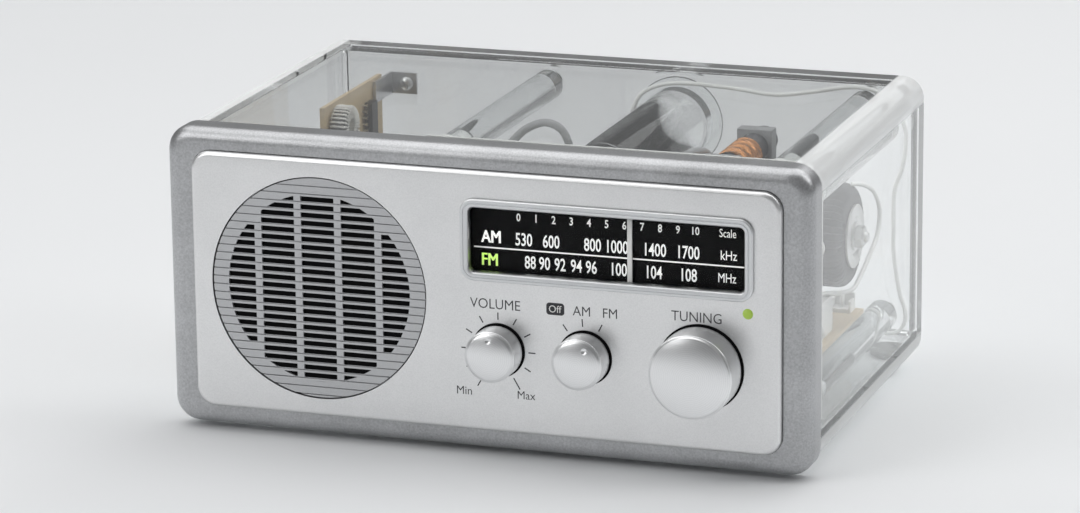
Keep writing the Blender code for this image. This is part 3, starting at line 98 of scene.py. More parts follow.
def centre_of(node):
    """A solid's middle, in the same measure."""
    return [(a + b) / 2 for a, b in zip(*sizes(node))]


def axle(node):
    """Where a round solid's axis along Y meets the plate's face, in metres."""
    x, _, z = centre_of(node)
    return at(x, 0, z)


def radius_of(node):
    low, high = sizes(node)
    return (high[0] - low[0]) / 2


print("plate face at", round(FACE / mm, 2), "mm, front middle at", round(MID / mm, 2), "mm")

# %% [markdown]
# ## The camera
#
# The photograph looks down on the radio from its right, through a long lens. The place and the three turns
# come from fitting the front's straight edges, and the lens from how strongly those edges run together.

# %% Camera
CAMERA_PLACE = (0.5317, -1.5433, 0.4960)
CAMERA_YAW = math.radians(19.12)
CAMERA_PITCH = math.radians(15.13)
CAMERA_ROLL = math.radians(-0.619)
CAMERA_LENS = 154.2

ahead = Vector((-math.sin(CAMERA_YAW) * math.cos(CAMERA_PITCH),
                math.cos(CAMERA_YAW) * math.cos(CAMERA_PITCH), -math.sin(CAMERA_PITCH)))
level = Vector((math.cos(CAMERA_YAW), math.sin(CAMERA_YAW), 0))
upright = level.cross(ahead)
right = math.cos(CAMERA_ROLL) * level + math.sin(CAMERA_ROLL) * upright
up = math.cos(CAMERA_ROLL) * upright - math.sin(CAMERA_ROLL) * level
camera = bpy.data.objects.new("camera", bpy.data.cameras.new("camera"))
camera.data.lens = CAMERA_LENS
camera.data.clip_start = 0.01
facing = Matrix((right, up, -ahead)).transposed()
camera.matrix_world = Matrix.LocRotScale(Vector(CAMERA_PLACE), facing, None)
bpy.context.scene.collection.objects.link(camera)
bpy.context.scene.camera = camera
print("camera", round(camera.location.length, 2), "m from the radio")

# %% [markdown]
# ## Writing node trees as expressions
#
# Node trees grow long when each node takes four lines. `Signal` wraps one socket so that ordinary
# arithmetic adds the Math nodes, and `Graph.node` makes any other node from its type, its settings and what
# goes into it. Both serve materials and Geometry Nodes alike.

# %% Signals and graphs


class Signal:
    """One output socket; arithmetic on it adds Math nodes to its tree."""

    def __init__(self, graph, socket):
        self.graph = graph
        self.socket = socket

    def math(self, operation, *others):
        values = enumerate((self, *others))
        return self.graph.node("ShaderNodeMath", {"operation": operation}, dict(values))

    def __add__(self, other):
        return self.math("ADD", other)

    def __sub__(self, other):
        return self.math("SUBTRACT", other)

    def __mul__(self, other):
        return self.math("MULTIPLY", other)

    def __truediv__(self, other):
        return self.math("DIVIDE", other)

    def __pow__(self, other):
        return self.math("POWER", other)

    __radd__ = __add__
    __rmul__ = __mul__


class Graph:
    """A node tree that is written as calls."""

    def __init__(self, tree):
        self.tree = tree

    def feed(self, socket, value):
        if isinstance(value, Signal):
            self.tree.links.new(value.socket, socket)
        else:
            socket.default_value = value

    def node(self, kind, settings=None, sockets=None, output=0):
        made = self.tree.nodes.new(kind)
        for name, value in (settings or {}).items():
            setattr(made, name, value)
        for name, value in (sockets or {}).items():
            self.feed(made.inputs[name], value)
        return Signal(self, made.outputs[output])

    def split(self, vector):
        """The x, y and z of a vector."""
        parts = self.node("ShaderNodeSeparateXYZ", {}, {0: vector}).socket.node.outputs
        return [Signal(self, part) for part in parts]


class Finish(Graph):
    """A material: constants go straight to its shader, and `vary` feeds what changes over the surface."""

    def __init__(self, name, colour, roughness, metallic=0.0, **constants):
        self.material = bpy.data.materials.new(name)
        self.material.use_nodes = True
        super().__init__(self.material.node_tree)
        self.shader = self.tree.nodes["Principled BSDF"]
        self.colour = (*colour, 1)
        plain = {"base_color": self.colour, "roughness": roughness, "metallic": metallic, **constants}
        for socket in self.shader.inputs:
            key = socket.name.lower().replace(" ", "_")
            if key in plain:
                socket.default_value = plain[key]
        self.place = self.node("ShaderNodeTexCoord", output="Object")

    def noise(self, scale, detail=2.0, stretch=None):
        """Soft noise with `scale` cells to the metre."""
        place = self.place
        if stretch:
            place = self.node("ShaderNodeMapping", {}, {"Vector": place, "Scale": stretch})
        return self.node("ShaderNodeTexNoise", {}, {"Vector": place, "Scale": scale, "Detail": detail})

    def tint(self, share, low, high):
        """The colour, from `low` times itself where the share is 0 to `high` times itself where it is 1."""
        a, b = (tuple(min(c * f, 1) for c in self.colour[:3]) + (1,) for f in (low, high))
        return self.node("ShaderNodeMix", {"data_type": "RGBA"}, {0: share, 6: a, 7: b}, output=2)

    def vary(self, **signals):
        for name, signal in signals.items():
            self.feed(self.shader.inputs[name.replace("_", " ").title()], signal)

    def bump(self, height, depth):
        """Relief from a height signal, `depth` metres deep."""
        relief = {"Strength": 1.0, "Distance": depth, "Height": height}
        self.vary(normal=self.node("ShaderNodeBump", {}, relief))


print("node helpers ready")

# %% [markdown]
# ## The stage
#
# The radio stands on a wide pale sheet. Large soft lamps above and to the left make broad highlights on the
# satin metal, smaller ones on the right and behind draw the edges of the acrylic, and a pale world fills
# the shadows. The world has one colour for the camera, for what metal mirrors and for what shows through
# the acrylic.

# %% Floor, world and lamps
STAGE_COLOUR = (0.80, 0.81, 0.82)
WORLD_STRENGTH = 0.22
LAMPS = {  # place, aim and size in metres, then watts
    "top_lamp": ((-0.2, 0.3, 2.0), (0, 0, 0), (3.0, 2.4), 35),
    "left_lamp": ((-1.3, -1.4, 1.2), (0, 0, 0.05), (1.5, 1.2), 13),
    "right_lamp": ((1.4, 0.3, 1.3), (0, 0, 0.05), (0.8, 0.9), 6),
    "back_lamp": ((0.7, 1.6, 1.4), (0, 0, 0.05), (1.4, 0.9), 7),
}


def pale_sheet():
    sheet = Finish("stage_paper", STAGE_COLOUR, 0.9)
    sheet.vary(base_color=sheet.tint(sheet.noise(3.0), 0.98, 1.02))
    return sheet.material


def stage_floor(reach=6.0, sides=64):
    angles = [2 * math.pi * k / sides for k in range(sides)]
    bm = bmesh.new()
    bm.faces.new([bm.verts.new((reach * math.cos(a), reach * math.sin(a), 0)) for a in angles])
    mesh = bpy.data.meshes.new("stage_floor")
    bm.to_mesh(mesh)
    bm.free()
    mesh.materials.append(pale_sheet())
    floor = bpy.data.objects.new("stage_floor", mesh)
    bpy.context.scene.collection.objects.link(floor)
    floor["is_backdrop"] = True


def lamp(name, place, aim, size, watts):
    data = bpy.data.lights.new(name, "AREA")
    data.shape = "RECTANGLE"
    data.size, data.size_y = size
    data.energy = watts
    obj = bpy.data.objects.new(name, data)
    obj.location = place
    obj.rotation_euler = (Vector(aim) - Vector(place)).to_track_quat("-Z", "Y").to_euler()
    bpy.context.scene.collection.objects.link(obj)


stage_floor()
for name, settings in LAMPS.items():
    lamp(name, *settings)
world = bpy.data.worlds.new("studio")
world.use_nodes = True
sky = world.node_tree.nodes["Background"]
sky.inputs["Color"].default_value = (*STAGE_COLOUR, 1)
sky.inputs["Strength"].default_value = WORLD_STRENGTH
bpy.context.scene.world = world
bpy.context.scene.view_settings.view_transform = "Standard"
print("stage and", len(bpy.data.lights), "lamps")

# %% [markdown]
# ## Finishes
#
# Each real material gets one function. Noise in Object coordinates gives the grain of bead-blasted metal,
# the mottling of moulded plastic or the fibres of a board, at its real scale, because the coordinates are
# metres.

# %% Metal finishes


def blasted_metal(name, colour, roughness, metallic, grain=2400.0, depth=0.00003, flake=0.15):
    """Satin metal or metal paint: fine even grain, with faint clouds in the colour and the gloss.

    `grain` counts grains to the metre, and `flake` says how far single grains stray from the colour.
    """
    skin = Finish(name, colour, roughness, metallic)
    fine = skin.noise(grain, 3.0)
    clouds = skin.noise(35.0, 3.0)
    skin.vary(base_color=skin.tint(fine * 0.6 + clouds * 0.4, 1.03 - flake, 1.03 + flake),
              roughness=roughness - 0.06 + fine * 0.08 + clouds * 0.05)
    skin.bump(fine, depth)
    return skin.material


def turned_metal(name, colour, roughness, centre):
    """Metal from a lathe: faint rings about an axis along Y."""
    skin = Finish(name, colour, roughness, 1.0)
    x, _, z = skin.split(skin.place)
    x, z = x - centre.x, z - centre.z
    reach = (x * x + z * z) ** 0.5
    rings = (reach * 9000.0).math("SINE")
    fine = skin.noise(4200.0, 2.0)
    skin.vary(base_color=skin.tint(fine * 0.7 + rings * 0.15 + 0.15, 0.9, 1.08),
              roughness=roughness - 0.03 + fine * 0.08)
    skin.bump(fine, 0.000015)
    return skin.material


def plated_steel(name, colour=(0.62, 0.62, 0.63)):
    """Bright plating with a faint spangle and smudges in its gloss."""
    skin = Finish(name, colour, 0.28, 1.0)
    spangle = skin.node("ShaderNodeTexVoronoi", {}, {"Vector": skin.place, "Scale": 420.0})
    smudge = skin.noise(90.0, 4.0)
    skin.vary(base_color=skin.tint(spangle * 0.6 + smudge * 0.4, 0.85, 1.1), roughness=0.18 + smudge * 0.25)
    return skin.material


# %% Plastic, rubber and paper finishes


def moulded(name, colour, roughness=0.45, grain=1800.0, depth=0.00002, **constants):
    """Moulded plastic: an orange-peel grain and slightly uneven gloss."""
    skin = Finish(name, colour, roughness, **constants)
    peel = skin.noise(grain, 2.0)
    patch = skin.noise(60.0, 3.0)
    skin.vary(base_color=skin.tint(patch, 0.94, 1.05), roughness=roughness - 0.06 + patch * 0.12)
    skin.bump(peel, depth)
    return skin.material


def rubbery(name, colour=(0.025, 0.025, 0.026)):
    """Dull rubber or cord, with a little dust."""
    skin = Finish(name, colour, 0.75)
    dust = skin.noise(700.0, 4.0)
    skin.vary(base_color=skin.tint(dust, 0.7, 1.6), roughness=0.65 + dust * 0.2)
    skin.bump(dust, 0.00004)
    return skin.material


def paper_cone(name):
    """Pressed paper pulp: matted fibres in every direction."""
    skin = Finish(name, (0.035, 0.034, 0.033), 0.9)
    fibres = skin.noise(900.0, 6.0) * 0.6 + skin.noise(2600.0, 3.0) * 0.4
    skin.vary(base_color=skin.tint(fibres, 0.5, 1.7))
    skin.bump(fibres, 0.00008)
    return skin.material


def woven_cloth(name):
    """Acoustic cloth: threads over and under in a fine square weave."""
    skin = Finish(name, (0.005, 0.005, 0.0055), 0.95, specular_ior_level=0.1)
    x, _, z = skin.split(skin.place)
    pitch = 2 * math.pi / (0.8 * mm)
    weave = (x * pitch).math("SINE") * (z * pitch).math("SINE") * 0.5 + 0.5
    skin.vary(base_color=skin.tint(weave, 0.4, 2.2))
    skin.bump(weave, 0.00015)
    return skin.material


# %% Clear acrylic
# Painted edge glow at the tube's corners and cut ends: how fast the white comes in, how strong it is and
# how much it wanders.
EDGE_GLOW_FADE = 900.0
EDGE_GLOW_SHARE, EDGE_GLOW_WIPE = 0.56, 0.16


def acrylic(name, colour=(0.985, 0.995, 0.995), roughness=0.015, ior=1.49, edge_glow_room=None):
    """Cast acrylic. Shadow rays pass straight through, so that the lamps light what is inside it.

    Light that is caught in a thick sheet leaves at its edges, so the edges of such a sheet look white. Here
    that
    glow is painted: the optional room argument gives the low and high corner of the room inside a tube, and
    outside that room a white diffuse is mixed into the tube's corners and cut ends within about a
    millimetre.
    """
    skin = Finish(name, colour, roughness, transmission_weight=1.0, ior=ior)
    wipe = skin.noise(14.0, 3.0)
    skin.vary(roughness=roughness * 0.5 + wipe * roughness)
    clear = Signal(skin, skin.shader.outputs[0])
    if edge_glow_room:
        over = []
        for part, low, high in zip(skin.split(skin.place), *edge_glow_room):
            beyond = (part - (low + high) / 2).math("ABSOLUTE") - (high - low) / 2
            over.append(beyond * EDGE_GLOW_FADE)
        corner = over[0].math("MINIMUM", over[2]).math("MAXIMUM", over[1])
        share = corner.math("MINIMUM", 1.0).math("MAXIMUM", 0.0) * (EDGE_GLOW_SHARE + wipe * EDGE_GLOW_WIPE)
        # A white diffuse mixed in as painted edge glow, standing in for light that leaves the acrylic at
        # its edges.
        painted_glow = skin.node("ShaderNodeBsdfDiffuse", {}, {"Color": (0.93, 0.94, 0.94, 1)})
        clear = skin.node("ShaderNodeMixShader", {}, {0: share, 1: clear, 2: painted_glow})
    light = skin.node("ShaderNodeLightPath", {}, {}, "Is Shadow Ray")
    open_air = skin.node("ShaderNodeBsdfTransparent", {}, {"Color": (0.94, 0.95, 0.95, 1)})
    both = skin.node("ShaderNodeMixShader", {}, {0: light, 1: clear, 2: open_air})
    skin.feed(skin.tree.nodes["Material Output"].inputs["Surface"], both)
    return skin.material


# %% Boards, windings and wires


def board_resin(name):
    """Resin-bonded paper board: tan, with fibres along one way and a warm flush."""
    skin = Finish(name, (0.60, 0.47, 0.29), 0.5)
    fibres = skin.noise(260.0, 5.0, stretch=(1.0, 6.0, 1.0))
    flush = skin.noise(25.0)
    skin.vary(base_color=skin.tint(fibres * 0.6 + flush * 0.4, 0.75, 1.2), roughness=0.4 + fibres * 0.2)
    skin.bump(fibres, 0.00003)
    return skin.material


def enamel_wire(name):
    """Copper wire under a clear coat of enamel."""
    skin = Finish(name, (0.62, 0.28, 0.1), 0.25, 0.85, coat_weight=0.4)
    shade = skin.noise(500.0, 3.0)
    skin.vary(base_color=skin.tint(shade, 0.75, 1.15), roughness=0.2 + shade * 0.15)
    return skin.material


def sintered(name):
    """Pressed ferrite powder: dark grey and gritty."""
    skin = Finish(name, (0.055, 0.055, 0.06), 0.6)
    grit = skin.noise(1500.0, 5.0)
    skin.vary(base_color=skin.tint(grit, 0.6, 1.5), roughness=0.5 + grit * 0.2)
    skin.bump(grit, 0.00004)
    return skin.material


def ink(name, colour, roughness=0.55):
    """Screen-printed ink, a little uneven in cover."""
    skin = Finish(name, colour, roughness)
    cover = skin.noise(2400.0, 2.0)
    skin.vary(base_color=skin.tint(cover, 0.9, 1.05), roughness=roughness - 0.05 + cover * 0.1)
    return skin.material


def glowing(name, colour, strength):
    """A lit legend, a lamp, and the dial's print with its painted glow: emission, with a faint unevenness
    like a diffuser's.
    """
    skin = Finish(name, colour, 0.35, emission_strength=strength)
    spread = skin.noise(900.0, 2.0)
    skin.vary(emission_color=skin.tint(spread, 0.85, 1.1), base_color=skin.tint(spread, 0.9, 1.05))
    return skin.material


# %% All finishes
BAND_CENTRE, VOLUME_CENTRE, TUNING_CENTRE = (
    at(*centre_of(node)) for node in ("band_spindle", "volume_spindle", "tuning_shaft"))
END_FACE = 0.4 * mm
ROOM = [Vector((pane.x, tube.y + inset, pane.z)) for pane, tube, inset in
        zip(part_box("back_panel"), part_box("cabinet_shell"), (END_FACE, -END_FACE))]
ALUMINIUM = (0.87, 0.875, 0.88)
finishes = {
    "moulding": blasted_metal("silver_moulding", (0.47, 0.475, 0.485), 0.36, 0.85, 1500.0, 0.00006, 0.6),
    "plate": blasted_metal("satin_plate", ALUMINIUM, 0.36, 0.95, flake=0.25),
    "rim": blasted_metal("satin_rim", (0.72, 0.73, 0.74), 0.36, 0.9),
    "grille": blasted_metal("grille_paint", (0.53, 0.535, 0.545), 0.36, 0.85),
    "volume": turned_metal("volume_aluminium", ALUMINIUM, 0.3, VOLUME_CENTRE),
    "band": turned_metal("band_aluminium", ALUMINIUM, 0.3, BAND_CENTRE),
    "tuning": turned_metal("tuning_aluminium", ALUMINIUM, 0.3, TUNING_CENTRE),
    "steel": plated_steel("plated_steel"),
    "bright": plated_steel("nickel_screws", (0.75, 0.75, 0.74)),
    "brass": plated_steel("turned_brass", (0.75, 0.55, 0.25)),
    "black": moulded("black_moulding", (0.018, 0.018, 0.019), 0.4),
    "dial": moulded("dial_black", (0.003, 0.003, 0.0035), 0.5, 3000.0, 0.000004, specular_ior_level=0.1),
    "white": moulded("white_nylon", (0.84, 0.84, 0.82), 0.42),
    "grey": moulded("grey_moulding", (0.28, 0.285, 0.29), 0.5),
    "jacket": moulded("grey_jacket", (0.34, 0.345, 0.35), 0.5, 900.0),
    "white_jacket": moulded("white_jacket", (0.86, 0.86, 0.84), 0.45, 900.0),
    "rubber": rubbery("foot_rubber"),
    "paper": paper_cone("cone_paper"),
    "cloth": woven_cloth("acoustic_cloth"),
    "clear": acrylic("clear_acrylic"),
    # The tube's corners and cut ends get painted edge glow.
    "tube": acrylic("tube_acrylic", edge_glow_room=ROOM),
    "rod": acrylic("polished_rod", (0.97, 0.985, 0.985), 0.02),
    "lens": acrylic("dial_window", (0.99, 0.99, 0.99), 0.01, ior=1.1),
    "board": board_resin("board_resin"),
    "copper": enamel_wire("enamelled_copper"),
    "tinned": moulded("white_enamel", (0.80, 0.79, 0.75), 0.3, 700.0),
    "sleeve": moulded("capacitor_sleeve", (0.02, 0.03, 0.06), 0.35),
    "resistor": moulded("resistor_lacquer", (0.62, 0.50, 0.34), 0.4),
    "tape": moulded("wrapped_tape", (0.022, 0.022, 0.024), 0.5, 300.0),
    "ferrite": sintered("sintered_ferrite"),
    "ink": ink("black_ink", (0.035, 0.035, 0.04)),
    "white_ink": ink("white_ink", (0.88, 0.88, 0.86)),
    # The dial's white print glows as painted light, which keeps it white where the rim shades the dial's
    # left end.
    "dial_ink": glowing("dial_ink", (0.86, 0.86, 0.84), 0.45),
    "lit": glowing("lit_legend", (0.66, 0.85, 0.28), 0.45),
    "lamp": glowing("lamp_green", (0.45, 0.66, 0.10), 0.10),
    "cord": rubbery("braided_cord", (0.04, 0.04, 0.042)),
}
print("finishes:", len(finishes))

# %% [markdown]
# ## Finishing the solid parts
#
# Parts whose solid shape is already right keep it and only take a finish. The table goes by the record's
# material slots, so each new slot needs one line.

# %% Finish for each slot
SLOT_FINISH = {
    "clear_acrylic": "clear", "silver_moulding": "moulding", "satin_aluminium": "plate",
    "grille_silver": "grille", "black_cloth": "cloth", "dial_black": "dial", "lamp_green": "lamp",
    "white_plastic": "white", "grey_plastic": "grey", "black_plastic": "black", "black_paper": "paper",
    "rubber": "rubber", "bright_steel": "steel", "ferrite": "ferrite", "circuit_board": "board",
    "copper_winding": "copper", "white_lead": "white_jacket", "grey_lead": "jacket", "black_cord": "cord",
}
slot_of = {part["node"]: part["material_slot"] for part in frame["record"]["subparts"]}
for name, obj in frame["nodes"].items():
    obj.data.materials.clear()
    obj.data.materials.append(finishes[SLOT_FINISH[slot_of[name]]])
print("finished solids:", len(slot_of))

# %% [markdown]
# ## Making meshes
#
# Most of the radio is turned, lofted or cut from sheet, so a few small helpers cover it: a rounded outline,
# a loft through rings or layers, a turned profile and a carve with a cutter. `carry` then seats a finished
# piece on its body and hides the solids it stands for, and `tell` prints what came of it.

# %% Mesh helpers


def carry(obj, finish, stands_for=(), body="cabinet"):
    """Give a piece its finish and its body, and hide the solids it stands for."""
    obj.data.materials.clear()
    obj.data.materials.append(finishes[finish])
    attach(obj, body)
    if stands_for:
        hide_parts(*stands_for)
    return obj


def tell(*pieces):
    """Print each piece's faces and its size in millimetres."""
    for piece in pieces:
        print(piece.name, len(piece.data.polygons), "faces,", [round(d / mm, 1) for d in piece.dimensions])


def shaped(name, bm, angle=30):
    """An object from a bmesh, shaded smooth except across edges sharper than the angle."""
    bmesh.ops.remove_doubles(bm, verts=bm.verts, dist=0.001 * mm)
    bmesh.ops.recalc_face_normals(bm, faces=bm.faces)
    mesh = bpy.data.meshes.new(name)
    bm.to_mesh(mesh)
    bm.free()
    obj = bpy.data.objects.new(name, mesh)
    bpy.context.scene.collection.objects.link(obj)
    return smoothed(obj, angle)


def smoothed(obj, angle=30):
    obj.data.shade_smooth()
    obj.data.set_sharp_from_angle(angle=math.radians(angle))
    return obj


def settle(obj, angle=30):
    """Turn an object with its modifiers into a plain mesh."""
    graph = bpy.context.evaluated_depsgraph_get()
    mesh = bpy.data.meshes.new_from_object(obj.evaluated_get(graph))
    obj.modifiers.clear()
    obj.data = mesh
    return smoothed(obj, angle)


def carve(obj, bm, operation="DIFFERENCE", angle=30):
    """Cut a bmesh out of an object, or join it on."""
    cutter = shaped("cutter", bm)
    modifier = obj.modifiers.new("carve", "BOOLEAN")
    modifier.operation = operation
    modifier.solver = "EXACT"
    modifier.object = cutter
    settle(obj, angle)
    bpy.data.objects.remove(cutter)


def rounded(width, height, radius, x=0.0, z=0.0, steps=12):
    """A rectangle with round corners, as (x, z) points."""
    points = []
    for k, (sx, sz) in enumerate(((1, 1), (-1, 1), (-1, -1), (1, -1))):
        for i in range(steps + 1):
            turn = math.pi / 2 * (k + i / steps)
            points.append((x + sx * (width / 2 - radius) + radius * math.cos(turn),
                           z + sz * (height / 2 - radius) + radius * math.sin(turn)))
    return points


def loft(bm, rings, closed=False):
    """A skin through rings of points, with flat ends or joined back to its start."""
    loops = [[bm.verts.new(p) for p in ring] for ring in rings]
    pairs = list(zip(loops, loops[1:]))
    if closed:
        pairs.append((loops[-1], loops[0]))
    else:
        bm.faces.new(loops[0])
        bm.faces.new(loops[-1])
    for a, b in pairs:
        for i in range(len(a)):
            j = (i + 1) % len(a)
            bm.faces.new((a[i], a[j], b[j], b[i]))


def stacked(bm, layers, closed=False):
    """A skin through layers, each an (x, z) outline and its depth in millimetres."""
    loft(bm, [[at(x, depth, z) for x, z in outline] for outline, depth in layers], closed)


def slab(bm, outline, start, end):
    """One outline run back from one depth to another."""
    stacked(bm, [(outline, start), (outline, end)])


def turned(bm, profile, centre, axis="y", sides=64, closed=False):
    """A (radius, distance) profile in millimetres turned about an axis through a centre in metres."""
    across = {"x": (1, 2), "y": (0, 2), "z": (0, 1)}[axis]
    along = "xyz".index(axis)
    rings = []
    for radius, distance in profile:
        ring = []
        for k in range(sides if radius > 0 else 1):
            point = Vector(centre)
            point[along] += distance * mm
            point[across[0]] += radius * mm * math.cos(2 * math.pi * k / sides)
            point[across[1]] += radius * mm * math.sin(2 * math.pi * k / sides)
            ring.append(bm.verts.new(point))
        rings.append(ring)
    pairs = list(zip(rings, rings[1:]))
    if closed:
        pairs.append((rings[-1], rings[0]))
    for a, b in pairs:
        for k in range(sides):
            corners = [a[k % len(a)], a[(k + 1) % len(a)], b[(k + 1) % len(b)], b[k % len(b)]]
            distinct = list(dict.fromkeys(corners))
            if len(distinct) > 2:
                bm.faces.new(distinct)


def drill(bm, radius, start, end, place, sides=32):
    """A plain cylinder along Y, to cut a hole with."""
    turned(bm, [(0, start), (radius, start), (radius, end), (0, end)], place, sides=sides)


def arc(centre, radius, start, end, steps=6):
    """Points on an arc of a profile, angles in degrees."""
    angles = [math.radians(start + (end - start) * k / steps) for k in range(steps + 1)]
    return [(centre[0] + radius * math.cos(a), centre[1] + radius * math.sin(a)) for a in angles]


print("mesh helpers ready")

# %% [markdown]
# ## The front moulding and its plate
#
# The front is a silver moulding with a soft pillow edge. A bright satin plate sits proud in its pocket,
# with a small rounded edge that catches the light. Both are lofted through rounded outlines that follow a
# quarter circle, then pierced where the loudspeaker, the dial, the shafts and the lamp come through.

# %% Sizes of the front
(front_left, front_face, front_bottom), (front_right, front_back, front_top) = sizes("front_bezel")
(plate_left, _, plate_bottom), (plate_right, plate_back, plate_top) = sizes("front_plate")
(_, panel_face, _), (panel_right, _, panel_top) = sizes("back_panel")
(lens_left, lens_face, lens_bottom), (lens_right, lens_back, lens_top) = sizes("dial_lens")
(rim_left, rim_face, _), (rim_right, rim_back, _) = sizes("dial_frame")
GAP = 0.3
FRONT_WIDTH, FRONT_HEIGHT = front_right - front_left, front_top - front_bottom
PLATE_WIDTH, PLATE_HEIGHT = plate_right - plate_left, plate_top - plate_bottom
FRONT_RADIUS, FRONT_EDGE = 9.0, 5.0
PLATE_RADIUS, PLATE_EDGE = 7.0, 1.6
WEB = 3.0
ROOM_RIGHT, ROOM_TOP = panel_right + GAP, panel_top + GAP
CONTROLS = {"volume": VOLUME_CENTRE, "band": BAND_CENTRE, "tuning": TUNING_CENTRE}
CONTROL_X = {name: place.x / mm for name, place in CONTROLS.items()}
CONTROL_Z = (VOLUME_CENTRE.z - MID) / mm
LAMP_HOLE = 1.8
GRILLE_X, GRILLE_RADIUS = centre_of("speaker_grille")[0], radius_of("speaker_grille")
DIAL_X, _, DIAL_Z = centre_of("dial_lens")
DIAL_WIDTH, DIAL_HEIGHT = lens_right - lens_left + 2 * GAP, lens_top - lens_bottom + 2 * GAP
DIAL_RADIUS, DIAL_LIP = 2.0, 1.6
DIAL_RIM = (rim_right - rim_left - DIAL_WIDTH) / 2
print("front", round(FRONT_WIDTH), "x", round(FRONT_HEIGHT), "mm; dial", round(DIAL_WIDTH, 1), "mm wide")

# %% Moulding and plate


def pillow(width, height, radius, edge, face, back, steps):
    """A block with a rounded front edge."""
    layers = []
    for k in range(steps + 1):
        turn = math.pi / 2 * k / steps
        inset = edge * (1 - math.sin(turn))
        outline = rounded(width - 2 * inset, height - 2 * inset, radius - inset / 2)
        layers.append((outline, face + edge * (1 - math.cos(turn))))
    layers.append((rounded(width, height, radius), back))
    bm = bmesh.new()
    stacked(bm, layers)
    return bm


def pierce(bm, start, end, shaft_hole, speaker_hole, dial_hole):
    """Cutters for what comes through the front."""
    for x in CONTROL_X.values():
        drill(bm, shaft_hole, start, end, at(x, 0, CONTROL_Z))
    drill(bm, LAMP_HOLE, start, end, axle("tuning_lamp"), 24)
    drill(bm, speaker_hole, start, end, at(GRILLE_X, 0, 0), 128)
    slab(bm, dial_hole, start, end)


def moulding():
    """The front, with a pocket for the plate and a hollow back on either side of a thin web."""
    blank = pillow(FRONT_WIDTH, FRONT_HEIGHT, FRONT_RADIUS, FRONT_EDGE, front_face, front_back, 12)
    obj = shaped("front_moulding", blank)
    web_face = plate_back + GAP
    bm = bmesh.new()
    slab(bm, rounded(PLATE_WIDTH + 2 * GAP, PLATE_HEIGHT + 2 * GAP, PLATE_RADIUS + GAP), 0, web_face)
    slab(bm, rounded(2 * ROOM_RIGHT, 2 * ROOM_TOP, 1.0, steps=3), web_face + WEB, front_back + 5)
    carve(obj, bm)
    bm = bmesh.new()
    (left, _, low), (right, _, _) = sizes("dial_scale")
    top = sizes("pointer_rail")[1][2] + 1.2
    slot = [(left - 0.6, low - 0.6), (right + 0.6, low - 0.6), (right + 0.6, top), (left - 0.6, top)]
    pierce(bm, -5, front_back + 6, 4.7, GRILLE_RADIUS - 5, slot)
    carve(obj, bm)
    return carry(obj, "moulding", ["front_bezel"])


def plate():
    blank = pillow(PLATE_WIDTH, PLATE_HEIGHT, PLATE_RADIUS, PLATE_EDGE, 0, plate_back, 8)
    obj = shaped("face_plate", blank)
    bm = bmesh.new()
    sleeve = rounded(DIAL_WIDTH + 2 * DIAL_LIP + 0.6, DIAL_HEIGHT + 2 * DIAL_LIP + 0.6,
                     DIAL_RADIUS + DIAL_LIP, DIAL_X, DIAL_Z)
    pierce(bm, -5, plate_back + 5, 7.5, GRILLE_RADIUS + 0.3, sleeve)
    carve(obj, bm)
    return carry(obj, "plate", ["front_plate"])


tell(moulding(), plate())

# %% [markdown]
# ## Knobs
#
# The three knobs are turned from aluminium bar: straight sides, a fine bright bevel and a face that is
# slightly domed. The two small ones carry a drilled dimple that shows where they point. Each rides on the
# body that its shaft belongs to.

# %% Turned knobs
KNOB_EDGE, KNOB_BEVEL, KNOB_BORE, KNOB_FACE = 0.9, 0.45, 3.3, 3.0
DOME_RISE, DOME_TURN = 0.14, 0.9
DIMPLE_REACH, DIMPLE_BALL = 0.7, 1.7


def knob(name, dimple=None):
    """A knob; `dimple` is the angle from straight up, in radians, at which it points."""
    control = name.split("_")[0]
    (_, face, _), (_, back, _) = sizes(name)
    radius, x = radius_of(name), CONTROL_X[control]
    dome = DOME_RISE * radius
    crown = [(radius * math.sin(t), face + dome * (1 - math.cos(t)) / (1 - math.cos(DOME_TURN)))
             for t in [DOME_TURN * k / 10 for k in range(11)]]
    scale = (radius - KNOB_EDGE) / crown[-1][0]
    crown = [(0 if k == 0 else r * scale, d) for k, (r, d) in enumerate(crown)]
    shoulder = face + dome + KNOB_BEVEL
    profile = [*crown, (radius - KNOB_EDGE + KNOB_BEVEL, shoulder),
               *arc((radius - KNOB_BEVEL, shoulder + KNOB_BEVEL), KNOB_BEVEL, -90, 0, 4),
               (radius, back - 1.0), *arc((radius - 0.6, back - 0.6), 0.6, 0, 90, 4),
               (KNOB_BORE, back), (KNOB_BORE, face + KNOB_FACE), (0, face + KNOB_FACE)]
    bm = bmesh.new()
    turned(bm, profile, at(x, 0, CONTROL_Z), sides=96)
    obj = shaped(name + "_turned", bm, 25)
    if dimple is not None:
        reach = DIMPLE_REACH * radius
        spot = at(x + reach * math.sin(dimple), face - 0.5, CONTROL_Z + reach * math.cos(dimple))
        turns = [math.pi * k / 12 for k in range(1, 12)]
        ball = [(DIMPLE_BALL * math.sin(t), -DIMPLE_BALL * math.cos(t)) for t in turns]
        bm = bmesh.new()
        turned(bm, [(0, -DIMPLE_BALL), *ball, (0, DIMPLE_BALL)], spot, sides=32)
        carve(obj, bm, angle=25)
    return carry(obj, control, [name], body=control + "_dial")


def felts():
    """Black felt washers under the knobs: painted shadow, a dark ring for the shade round each knob's base.
    """
    bm = bmesh.new()
    for name, x in CONTROL_X.items():
        radius = radius_of(name + "_knob")
        turned(bm, [(4, -0.5), (radius + 0.3, -0.5), (radius + 0.6, -0.3), (radius + 0.6, 0), (4, 0)],
               at(x, 0, CONTROL_Z), sides=64, closed=True)
    return carry(shaped("knob_felts", bm), "cloth")


